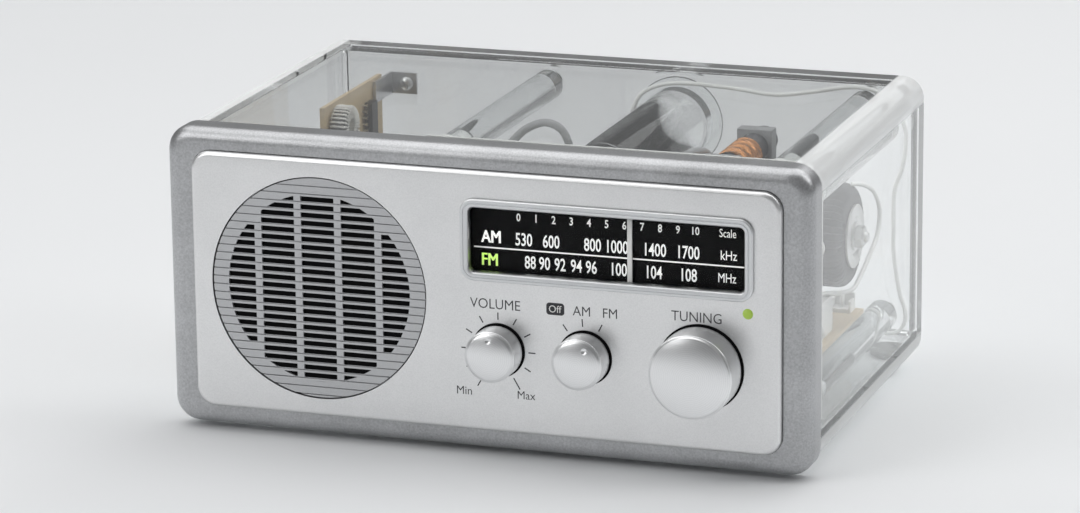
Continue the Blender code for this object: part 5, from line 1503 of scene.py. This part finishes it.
def ring_section(hole, rim, half, corner, steps):
    """The section of a ring about the x axis, with round corners, as a closed profile."""
    section = []
    for radius, side, start in ((rim - corner, 1, 0), (hole + corner, 1, 90), (hole + corner, -1, 180),
                                (rim - corner, -1, 270)):
        section += arc((radius, side * (half - corner)), corner, start, start + 90, steps)
    return section


def choke(turns=30, hole=3.2, wire=0.38):
    """A ring core and, as a piece of its own, the wire wound on it."""
    (left, front, _), (right, end, _) = sizes("choke_coil")
    centre = at(*centre_of("choke_coil"))
    rim, half = (end - front) / 2, (right - left) / 2
    bm = bmesh.new()
    section = ring_section(hole + 2 * wire, rim - 2 * wire, half - 2 * wire, 0.6, 4)
    turned(bm, section, centre, "x", 64, closed=True)
    core = carry(shaped("choke_core", bm), "ferrite")
    g, wound = ring_winding("choke_winding", turns, hole, rim, 2 * half, wire)
    obj = g.grow(wound, "tinned")
    obj.data.transform(Matrix.Translation(centre))
    return core, carry(obj, "tinned", ["choke_coil"])


def aerial_coil(wire=0.32):
    """A close helix on the ferrite bar."""
    (_, front, _), (_, end, _) = sizes("ferrite_coil")
    x, _, z = centre_of("ferrite_coil")
    g = Growth("aerial_winding", turns=float(int((end - front) / (2.1 * wire))),
               radius=(radius_of("ferrite_coil") - wire) * mm, length=(end - front - 2 * wire) * mm,
               wire=wire * mm)
    shape = {"Resolution": 20, "Rotations": g.input["turns"], "Start Radius": g.input["radius"],
             "End Radius": g.input["radius"], "Height": g.input["length"]}
    helix = g.node("GeometryNodeCurveSpiral", {}, shape)
    obj = g.grow(g.swept(helix, g.circle(g.input["wire"], 6)), "copper")
    lying = Matrix.Rotation(math.pi / 2, 4, "X")
    obj.data.transform(Matrix.Translation(at(x, end - wire, z)) @ lying)
    return carry(obj, "copper", ["ferrite_coil"])


tell(*choke(), aerial_coil())

# %% Mains transformer
TAPE_WRAPS, TAPE_STEP = 44, 0.42


def transformer():
    """A ring whose skin rises by one thickness of tape in each wrap and drops back at its end."""
    (left, front, _), (right, end, _) = sizes("mains_transformer")
    rim, half = (end - front) / 2 - TAPE_STEP, (right - left) / 2 - TAPE_STEP
    bm = bmesh.new()
    turned(bm, ring_section(6.5, rim, half, 4.0, 5), (0, 0, 0), "x", TAPE_WRAPS * 6, closed=True)
    skin = shaped("transformer_taped", bm)
    g = Growth("tape_wraps", wraps=float(TAPE_WRAPS), step=TAPE_STEP * mm)
    _, y, z = g.split(g.node("GeometryNodeInputPosition"))
    around = y.math("ARCTAN2", z) / (2 * math.pi) * g.input["wraps"] + 0.001
    lift = around.math("FRACT") * g.input["step"]
    offset = g.node("ShaderNodeVectorMath", {"operation": "SCALE"},
                    {0: g.node("GeometryNodeInputNormal"), "Scale": lift})
    wrapped = g.node("GeometryNodeSetPosition", {}, {0: g.points, "Offset": offset})
    obj = g.grow(wrapped, "tape", angle=35, base=skin)
    obj.data.transform(Matrix.Translation(at(*centre_of("mains_transformer"))))
    return carry(obj, "tape", ["mains_transformer"])


tell(transformer())

# %% Ferrite bar


def ferrite_bar(edge=0.5):
    (_, front, _), (_, end, _) = sizes("ferrite_bar")
    radius = radius_of("ferrite_bar")
    bm = bmesh.new()
    turned(bm, [(0, front), (radius - edge, front), (radius, front + edge), (radius, end - edge),
                (radius - edge, end), (0, end)], axle("ferrite_bar"), sides=48)
    return carry(shaped("ferrite_rod", bm), "ferrite", ["ferrite_bar"])


tell(ferrite_bar())

# %% [markdown]
# ## Boards and small components
#
# The boards carry the usual small parts of a receiver: electrolytic capacitors, screened coils, resistors,
# chips and connectors. One of each is modelled, lying at the origin with its foot down, and a group sets
# copies on a list of places with their own turns. Only a few dozen faces go into each, because they are
# repeated.

# %% Component helper
UPRIGHT = Matrix.Identity(3)
SIDEWAYS = Matrix.Rotation(math.pi / 2, 3, "Y")
BOARD_TOP = sizes("main_board")[1][2]
AMP_FACE = sizes("amp_board")[1][0]


def scatter(name, bm, spots, finish, lie=UPRIGHT):
    """Copies of a small shape at (x, depth, height, spin) spots, all lying the same way up."""
    shape = shaped(name + "_shape", bm)
    shape.data.transform(lie.to_4x4())
    axis = lie @ Vector((0, 0, 1))
    g = Growth(name, places=[at(*spot[:3]) for spot in spots], size=1.0)
    info = g.node("GeometryNodeObjectInfo", {}, {"Object": shape}, "Geometry")
    spin = g.node("GeometryNodeInputNamedAttribute", {"data_type": "FLOAT"}, {"Name": "spin"})
    turn = g.node("FunctionNodeAxisAngleToRotation", {}, {"Axis": tuple(axis), "Angle": spin})
    seats = g.seats()
    marks = seats.data.attributes.new("spin", "FLOAT", "POINT")
    for mark, spot in zip(marks.data, spots):
        mark.value = math.radians(spot[3])
    size = g.input["size"]
    obj = g.grow(g.spread(g.points, info, turn, g.vector(size, size, size)), finish, base=seats)
    bpy.data.objects.remove(shape)
    return carry(obj, finish)


def lying(bm, profile, sides=16):
    """A turned body with its axis along x, standing on z = 0."""
    thick = max(radius for radius, _ in profile)
    turned(bm, profile, (0, 0, thick * mm), "x", sides)


def standing(bm, layers):
    """A skin through layers, each an (x, y) outline and its height, in the component's own axes."""
    loft(bm, [[Vector((x * mm, y * mm, z * mm)) for x, y in outline] for outline, z in layers])


def box_at(bm, x, y, z):
    """A box between millimetre limits in the component's own axes."""
    corners = [(x[0], y[0]), (x[1], y[0]), (x[1], y[1]), (x[0], y[1])]
    standing(bm, [(corners, level) for level in z])


print("component helper ready")

# %% Electrolytic capacitors
MAIN_CANS = [(20, 60, 0), (31, 56, 0), (40, 64, 0), (27, 72, 0), (50, 56, 0), (60, 54, 0)]
AMP_CANS = [(96, -10), (108, -14), (120, -8), (130, -20), (100, -28), (114, -32)]


def cans(name, radius, tall, spots, lie):
    sleeve = bmesh.new()
    turned(sleeve, [(0, 0), (radius - 0.3, 0), (radius, 0.3), (radius, 1.2), (radius - 0.3, 1.6),
                    (radius, 2.0), (radius, tall - 0.5), (radius - 0.4, tall), (radius - 0.9, tall),
                    (radius - 0.9, tall - 0.3), (0, tall - 0.3)], (0, 0, 0), "z", 24)
    scatter(name + "_sleeves", sleeve, spots, "sleeve", lie)
    top = bmesh.new()
    turned(top, [(0, tall - 0.3), (radius - 0.95, tall - 0.3), (radius - 1.1, tall - 0.1), (0, tall - 0.1)],
           (0, 0, 0), "z", 24)
    scatter(name + "_tops", top, spots, "bright", lie)


cans("board_cans", 4.0, 11.0, [(x, d, BOARD_TOP, s) for x, d, s in MAIN_CANS], UPRIGHT)
cans("amp_cans", 4.6, 12.0, [(AMP_FACE, d, z, 0) for d, z in AMP_CANS], SIDEWAYS)
print("capacitors:", len(MAIN_CANS) + len(AMP_CANS))

# %% Screened coils
COIL_CANS = [(34, 84), (44, 80), (44, 92), (34, 104), (52, 104)]


def coil_cans():
    can = bmesh.new()
    standing(can, [(rounded(7 - 2 * inset, 7 - 2 * inset, 0.8, steps=3), z)
                   for inset, z in ((0, 0), (0, 8.4), (0.25, 8.85), (0.6, 9.0))])
    spots = [(x, d, BOARD_TOP, 0) for x, d in COIL_CANS]
    scatter("coil_cans", can, spots, "bright")
    slug = bmesh.new()
    turned(slug, [(0, 8.9), (1.6, 8.9), (1.6, 9.2), (1.3, 9.3), (0, 9.3)], (0, 0, 0), "z", 16)
    scatter("coil_slugs", slug, spots, "copper")


coil_cans()
print("screened coils:", len(COIL_CANS))

# %% Resistors
MAIN_RESISTORS = [(22, 88, 0), (22, 92, 0), (66, 60, 90), (72, 58, 90), (62, 68, 0), (74, 68, 0),
                  (48, 70, 90), (30, 112, 0), (44, 112, 0), (60, 110, 0), (72, 112, 0), (84, 58, 0),
                  (84, 62, 0), (90, 66, 0), (92, 92, 90), (88, 104, 90)]
AMP_RESISTORS = [(86, 8, 90), (90, 8, 90), (104, 6, 0), (104, 2, 0), (118, 8, 90), (122, 8, 90),
                 (126, 8, 90), (90, -20, 90), (86, -34, 0), (128, -34, 0)]


def resistors(name, spots, lie):
    body = bmesh.new()
    lying(body, [(0, -3.2), (0.9, -3.2), (1.15, -2.8), (1.15, -1.9), (0.9, -1.5), (0.9, 1.5), (1.15, 1.9),
                 (1.15, 2.8), (0.9, 3.2), (0, 3.2)], 12)
    scatter(name + "_bodies", body, spots, "resistor", lie)
    legs = bmesh.new()
    for side in (-1, 1):
        box_at(legs, sorted((side * 3.1, side * 4.6)), (-0.3, 0.3), (0.85, 1.45))
        box_at(legs, sorted((side * 4.0, side * 4.6)), (-0.3, 0.3), (-0.1, 1.45))
    scatter(name + "_legs", legs, spots, "bright", lie)


resistors("board_resistors", [(x, d, BOARD_TOP, s) for x, d, s in MAIN_RESISTORS], UPRIGHT)
resistors("amp_resistors", [(AMP_FACE, d, z, s) for d, z, s in AMP_RESISTORS], SIDEWAYS)
print("resistors:", len(MAIN_RESISTORS) + len(AMP_RESISTORS))

# %% Chips and connectors
MAIN_CHIPS = [(60, 78, BOARD_TOP, 90), (60, 100, BOARD_TOP, 0)]
AMP_CHIPS = [(AMP_FACE, 122, 22, 0)]
HEADERS = [(24, 98, BOARD_TOP, 0), (56.5, 90.5, BOARD_TOP, 0), (93.2, 111, BOARD_TOP, 0)]


def chips(name, spots, lie):
    body = bmesh.new()
    standing(body, [(rounded(19 + 2 * grow, 6.4 + 2 * grow, 0.2, steps=1), z)
                    for grow, z in ((-0.35, 0.6), (0, 2.0), (0, 2.2), (-0.35, 3.6))])
    scatter(name + "_bodies", body, spots, "black", lie)
    legs = bmesh.new()
    for k in range(8):
        for side in (-1, 1):
            x = 2.4 * (k - 3.5)
            box_at(legs, (x - 0.6, x + 0.6), sorted((side * 3.2, side * 4.0)), (1.9, 2.2))
            box_at(legs, (x - 0.35, x + 0.35), sorted((side * 3.7, side * 4.0)), (-0.2, 2.2))
    scatter(name + "_legs", legs, spots, "bright", lie)


def headers():
    shell = bmesh.new()
    for x, y, z in (((-4, 4), (-3.2, 3.2), (0, 1.4)), ((-4, 4), (2.2, 3.2), (1.4, 6.5)),
                    ((-4, -3.2), (-3.2, 2.2), (1.4, 4.5)), ((3.2, 4), (-3.2, 2.2), (1.4, 4.5))):
        box_at(shell, x, y, z)
    scatter("lead_headers", shell, HEADERS, "white")


chips("board_chips", MAIN_CHIPS, UPRIGHT)
chips("amp_chips", AMP_CHIPS, SIDEWAYS)
headers()
print("chips:", len(MAIN_CHIPS) + len(AMP_CHIPS), "headers:", len(HEADERS))

# %% Solder joints
AMP_BACK = sizes("amp_board")[0][0]


def solder():
    """Bright domes where the leads come through the back of the upright board."""
    dome = bmesh.new()
    turned(dome, [(0, 0), (0.9, 0), (0.75, 0.25), (0.4, 0.6), (0.2, 1.0), (0, 1.0)], (0, 0, 0), "z", 12)
    spots = []
    for depth, height in AMP_CANS:
        spots += [(AMP_BACK, depth + side * 2.5, height, 0) for side in (-1, 1)]
    for depth, height, spin in AMP_RESISTORS:
        along, upward = math.sin(math.radians(spin)) * 4.3, math.cos(math.radians(spin)) * 4.3
        spots += [(AMP_BACK, depth + side * along, height + side * upward, 0) for side in (-1, 1)]
    return scatter("solder_joints", dome, spots, "bright",
                   Matrix.Rotation(-math.pi / 2, 3, "Y"))


made = solder()
print(made.name, len(made.data.polygons), "faces")

# %% [markdown]
# ## The back fittings
#
# A black plate on the clear back holds three jacks and the mains inlet. The jacks are turned sleeves in one
# strip, with a bright contact ring in each mouth, and the inlet is a recessed socket with two pins.

# %% Jack plate, jacks and inlet
JACKS_X = [JACK_X + 2 + 10 * k for k in range(3)]
INLET_X = JACK_X - 16.0
INLET_FACE = sizes("mains_inlet")[1][1]


def jack_plate():
    wide, tall = jack_right - jack_left, jack_top - jack_bottom
    edges = ((0, jack_start), (0, jack_face - 0.6), (0.18, jack_face - 0.18), (0.6, jack_face))
    bm = bmesh.new()
    stacked(bm, [(rounded(wide - 2 * inset, tall - 2 * inset, 3 - inset, JACK_X, JACK_Z, 6), depth)
                 for inset, depth in edges])
    obj = shaped("jack_panel", bm)
    bm = bmesh.new()
    for x in JACKS_X:
        drill(bm, 3.3, jack_start - 2, jack_face + 2, at(x, 0, JACK_Z))
    slab(bm, rounded(20.6, 14.6, 1.0, INLET_X, JACK_Z, 3), jack_start - 2, jack_face + 2)
    carve(obj, bm)
    return carry(obj, "black", ["jack_plate"])


def jack_strip():
    (left, inside, _), (right, nose, _) = sizes("jack_block")
    bm = bmesh.new()
    slab(bm, rounded(right - left, 9, 0.8, JACKS_X[1], JACK_Z, 3), inside, jack_start - GAP)
    obj = shaped("jack_strip", bm)
    bm = bmesh.new()
    for x in JACKS_X:
        turned(bm, [(0, inside + 1), (3, inside + 1), (3, nose - 0.4), (2.6, nose), (0, nose)],
               at(x, 0, JACK_Z), sides=32)
    carve(obj, bm, "UNION")
    bm = bmesh.new()
    for x in JACKS_X:
        turned(bm, [(0, inside + 3), (1.8, inside + 3), (1.8, nose - 0.5), (2.4, nose + 1), (0, nose + 1)],
               at(x, 0, JACK_Z), sides=32)
    carve(obj, bm)
    return carry(obj, "black", ["jack_block"])


def jack_rings():
    nose = sizes("jack_block")[1][1]
    bm = bmesh.new()
    for x in JACKS_X:
        turned(bm, [(1.35, nose - 3), (1.8, nose - 3), (1.8, nose - 1.0), (1.65, nose - 0.8),
                    (1.35, nose - 0.8)], at(x, 0, JACK_Z), sides=32, closed=True)
    return carry(shaped("jack_contacts", bm), "brass")


def inlet():
    (left, inside, low), (right, face, high) = sizes("mains_inlet")
    lip = face - 1.4
    wide, tall = right - left, high - low
    steps = ((20, 14, inside), (20, 14, lip), (wide, tall, lip), (wide, tall, face - 0.4),
             (wide - 0.8, tall - 0.8, face))
    bm = bmesh.new()
    stacked(bm, [(rounded(w, h, 1.6, INLET_X, JACK_Z, 5), depth) for w, h, depth in steps])
    obj = shaped("inlet_moulded", bm)
    bm = bmesh.new()
    slab(bm, rounded(15, 9, 4.4, INLET_X, JACK_Z, 10), inside + 4, face + 2)
    carve(obj, bm)
    return carry(obj, "black", ["mains_inlet"])


def inlet_pins():
    inside = sizes("mains_inlet")[0][1]
    bm = bmesh.new()
    for side in (-1, 1):
        turned(bm, [(0, inside + 3.8), (1.2, inside + 3.8), (1.2, INLET_FACE - 3.2),
                    (0.6, INLET_FACE - 2.4), (0, INLET_FACE - 2.4)], at(INLET_X + side * 4.2, 0, JACK_Z),
               sides=24)
    return carry(shaped("inlet_pins", bm), "bright")


tell(jack_plate(), jack_strip(), jack_rings(), inlet(), inlet_pins())

# %% Back print


def back_words():
    """Plain legends over the jacks, turned to face backwards."""
    bm = bmesh.new()
    words = [("AUX IN", JACKS_X[0], 6.6), ("OUT", JACKS_X[1], 6.6), ("PHONES", JACKS_X[2], 6.6),
             ("MAINS", INLET_X, 11.2)]
    for text, x, rise in words:
        lone = bmesh.new()
        print_words(lone, [(text, x, JACK_Z + rise, 1.4, 0.9)], jack_face + 0.05)
        for vertex in lone.verts:
            vertex.co.x = 2 * x * mm - vertex.co.x
        bmesh.ops.reverse_faces(lone, faces=lone.faces)
        mesh = bpy.data.meshes.new("legend")
        lone.to_mesh(mesh)
        lone.free()
        bm.from_mesh(mesh)
        bpy.data.meshes.remove(mesh)
    return inked("back_print", bm, "white_ink")


print(back_words().name)

# %% [markdown]
# ## Screws
#
# Small cross-head screws hold the back to the rods, the plate to the back, the boards to their stands and
# the transformer's foot to the board. One head is modelled with a real recess and set wherever one shows.

# %% Cross-head screws
BACKWARD = Matrix.Rotation(-math.pi / 2, 3, "X")
FORWARD = Matrix.Rotation(math.pi / 2, 3, "X")


def screw_head(radius, tall):
    """A pan head standing on z = 0, with a cross sunk into it."""
    bm = bmesh.new()
    turned(bm, [(0, 0), (radius, 0), (radius, tall * 0.35), (radius * 0.92, tall * 0.62),
                (radius * 0.72, tall * 0.88), (radius * 0.4, tall), (0, tall)], (0, 0, 0), "z", 24)
    obj = shaped("screw", bm)
    bm = bmesh.new()
    arm, wing = radius * 0.6, radius * 0.13
    box_at(bm, (-arm, arm), (-wing, wing), (tall * 0.35, tall + 1))
    carve(obj, bm)
    bm = bmesh.new()
    box_at(bm, (-wing, wing), (-arm, arm), (tall * 0.35, tall + 1))
    carve(obj, bm)
    bm = bmesh.new()
    bm.from_mesh(obj.data)
    bpy.data.objects.remove(obj)
    return bm


BRACKET = sizes("amp_bracket")
BRACKET_SCREW = [(BRACKET[1][0] - 4.0, BRACKET[1][1] - 1.2, (BRACKET[0][2] + BRACKET[1][2]) / 2, 40)]
BACK_SCREWS = [(centre_of(node)[0], tube_end, centre_of(node)[2], 20 * k) for k, node in enumerate(RODS)]
PLATE_SCREWS = [(JACK_X + sx * 29.5, jack_face, JACK_Z + sz * 11.5, 35 * sx + 20 * sz) for sx in (-1, 1)
                for sz in (-1, 1)]
BOARD_SCREWS = [(18, 50, BOARD_TOP, 10), (86, 50, BOARD_TOP, 55), (18, 112, BOARD_TOP, 30),
                (80, 112, BOARD_TOP, 70)]
FOOT_TOP = sizes("transformer_bracket")[0][2] + 1.5
FOOT_SCREWS = [(71, 82, FOOT_TOP, 15), (71, 102, FOOT_TOP, 50)]
SCREWS = {  # head radius and height, places and the way they face
    "back_screws": (3.2, 1.7, BACK_SCREWS, BACKWARD),
    "plate_screws": (1.8, 1.1, PLATE_SCREWS, BACKWARD),
    "bracket_screw": (2.6, 1.8, BRACKET_SCREW, FORWARD),
    "board_screws": (2.6, 1.6, BOARD_SCREWS + FOOT_SCREWS, UPRIGHT),
}
for name, (radius, tall, spots, lie) in SCREWS.items():
    tell(scatter(name, screw_head(radius, tall), spots, "bright", lie))

# %% Transformer bolt


def bolt():
    """A washer, a dished clamp plate and a hexagon head on the transformer's axis."""
    (_, front, low), (right, end, high) = sizes("mains_transformer")
    centre = at(right, (front + end) / 2, (low + high) / 2)
    bm = bmesh.new()
    turned(bm, [(0, -1.2), (11, 0.0), (11.6, 0.3), (11.6, 0.9), (11, 1.1), (7.5, 1.1), (6.5, 0.4),
                (0, 0.4)], centre, "x", 64)
    turned(bm, [(0, 0.2), (5.2, 0.2), (5.2, 1.3), (0, 1.3)], centre, "x", 32)
    turned(bm, [(0, 1.1), (4.2, 1.1), (4.2, 3.8), (3.6, 4.3), (0, 4.3)], centre, "x", 6)
    turned(bm, [(0, 4.2), (2.0, 4.2), (2.0, 5.2), (1.6, 5.6), (0, 5.6)], centre, "x", 24)
    return carry(shaped("transformer_bolt", bm), "bright")


print(bolt().name)

# %% [markdown]
# ## Inner wires
#
# The wires are round jackets bent through the same places as the solid ones, only with more sections, so
# that they bend smoothly. A short smoothing curve runs through each list of places.

# %% Wires


def eased(points, steps=6):
    """A smooth run through the points."""
    run = []
    ends = [points[0], *points, points[-1]]
    for k in range(1, len(ends) - 2):
        a, b, c, d = (Vector(p) for p in ends[k - 1:k + 3])
        for i in range(steps):
            t = i / steps
            run.append(0.5 * (2 * b + (c - a) * t + (2 * a - 5 * b + 4 * c - d) * t ** 2
                              + (3 * b - a - 3 * c + d) * t ** 3))
    return [*run, Vector(points[-1])]


def wire(name, points, radius, finish, *nodes):
    curve = bpy.data.curves.new(name, "CURVE")
    curve.dimensions = "3D"
    curve.bevel_depth = radius * mm
    curve.bevel_resolution = 3
    curve.use_fill_caps = True
    spline = curve.splines.new("POLY")
    run = [at(*p) for p in eased(points)]
    spline.points.add(len(run) - 1)
    for point, place in zip(spline.points, run):
        point.co = (*place, 1)
    drawn = bpy.data.objects.new(name, curve)
    bpy.context.scene.collection.objects.link(drawn)
    mesh = bpy.data.meshes.new_from_object(drawn.evaluated_get(bpy.context.evaluated_depsgraph_get()))
    bpy.data.objects.remove(drawn)
    obj = bpy.data.objects.new(name, mesh)
    bpy.context.scene.collection.objects.link(obj)
    return carry(smoothed(obj, 40), finish, nodes)


AERIAL_DEPTH = panel_face - 1.1
AERIAL = [(7.6, 25.4), (11.6, 34.4), (20, 39), (31.5, 40.2), (49, 39.4), (64.6, 38.1), (80, 40.4),
          (91, 42.6), (98.5, 42.9), (104.6, 41), (107, 35), (107, 28), (105.7, 20.6), (103, 12),
          (102.8, -2.6), (103, -12.3), (105.1, -25.6), (107.4, -33), (107.3, -38), (104.2, -42),
          (98.5, -42.9)]
AERIAL_TAIL = [(91.2, 146, -42.4), (90.2, 138, -40), (89.6, 128, -33), (90, 121, -23), (92, 116, -19),
               (93, 112, -20.5), (93.2, 111, -24.2)]
LEAD = [(-42.7, 36, 18.5), (-39, 48, 21), (-33, 62, 21.5), (-24, 73, 24.5), (-16, 75, 30), (-9, 75, 36.5),
        (-1.3, 75, 39.6), (5, 75.5, 37), (7.6, 77, 29), (7.2, 80, 18), (7.5, 86, 4), (11, 92, -10),
        (19, 96, -17), (23.5, 97.5, -20.5), (24, 98, -24.2)]
CABLE = [(48, 35.8, 20), (48.5, 39, 21), (51, 46, 28), (56, 58, 34.5), (60, 70, 34), (60.5, 80, 26),
         (58.5, 87, 12), (57, 90, -4), (56.5, 90.5, -16), (56.5, 90.5, -24.2)]
TRANSFORMER_LEAD = [(101, 94, 27.6), (104, 97, 27), (106.5, 102, 24), (106.8, 109, 18), (106.8, 111.5, 12),
                    (106.5, 109, 5), (105.5, 102, -1), (104.4, 94, -6.5), (103.6, 87, -9.4), (100, 82, -10),
                    (95.5, 78.5, -9.6), (94, 77.5, -11)]
AERIAL_RUN = [(x, AERIAL_DEPTH, z) for x, z in AERIAL] + AERIAL_TAIL
tell(wire("transformer_strand", TRANSFORMER_LEAD, 0.8, "white_jacket"),
     wire("aerial_strand", AERIAL_RUN, 0.8, "white_jacket", "aerial_wire"),
     wire("speaker_strand", LEAD, 1.5, "jacket", "speaker_lead"),
     wire("control_strand", CABLE, 1.8, "jacket", "control_cable"))

# %% [markdown]
# ## Sizes kept for comparison
#
# The dressed radio's box is set against the solid radio's box, and how much it grew is printed. The
# dressed radio has to stay inside the solid radio's box.

# %% Print how much the box grew
dressed_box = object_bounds()
growth = (dressed_box[1] - dressed_box[0]) - (cad_box[1] - cad_box[0])
print("box grew by", [round(part / mm, 2) for part in growth])
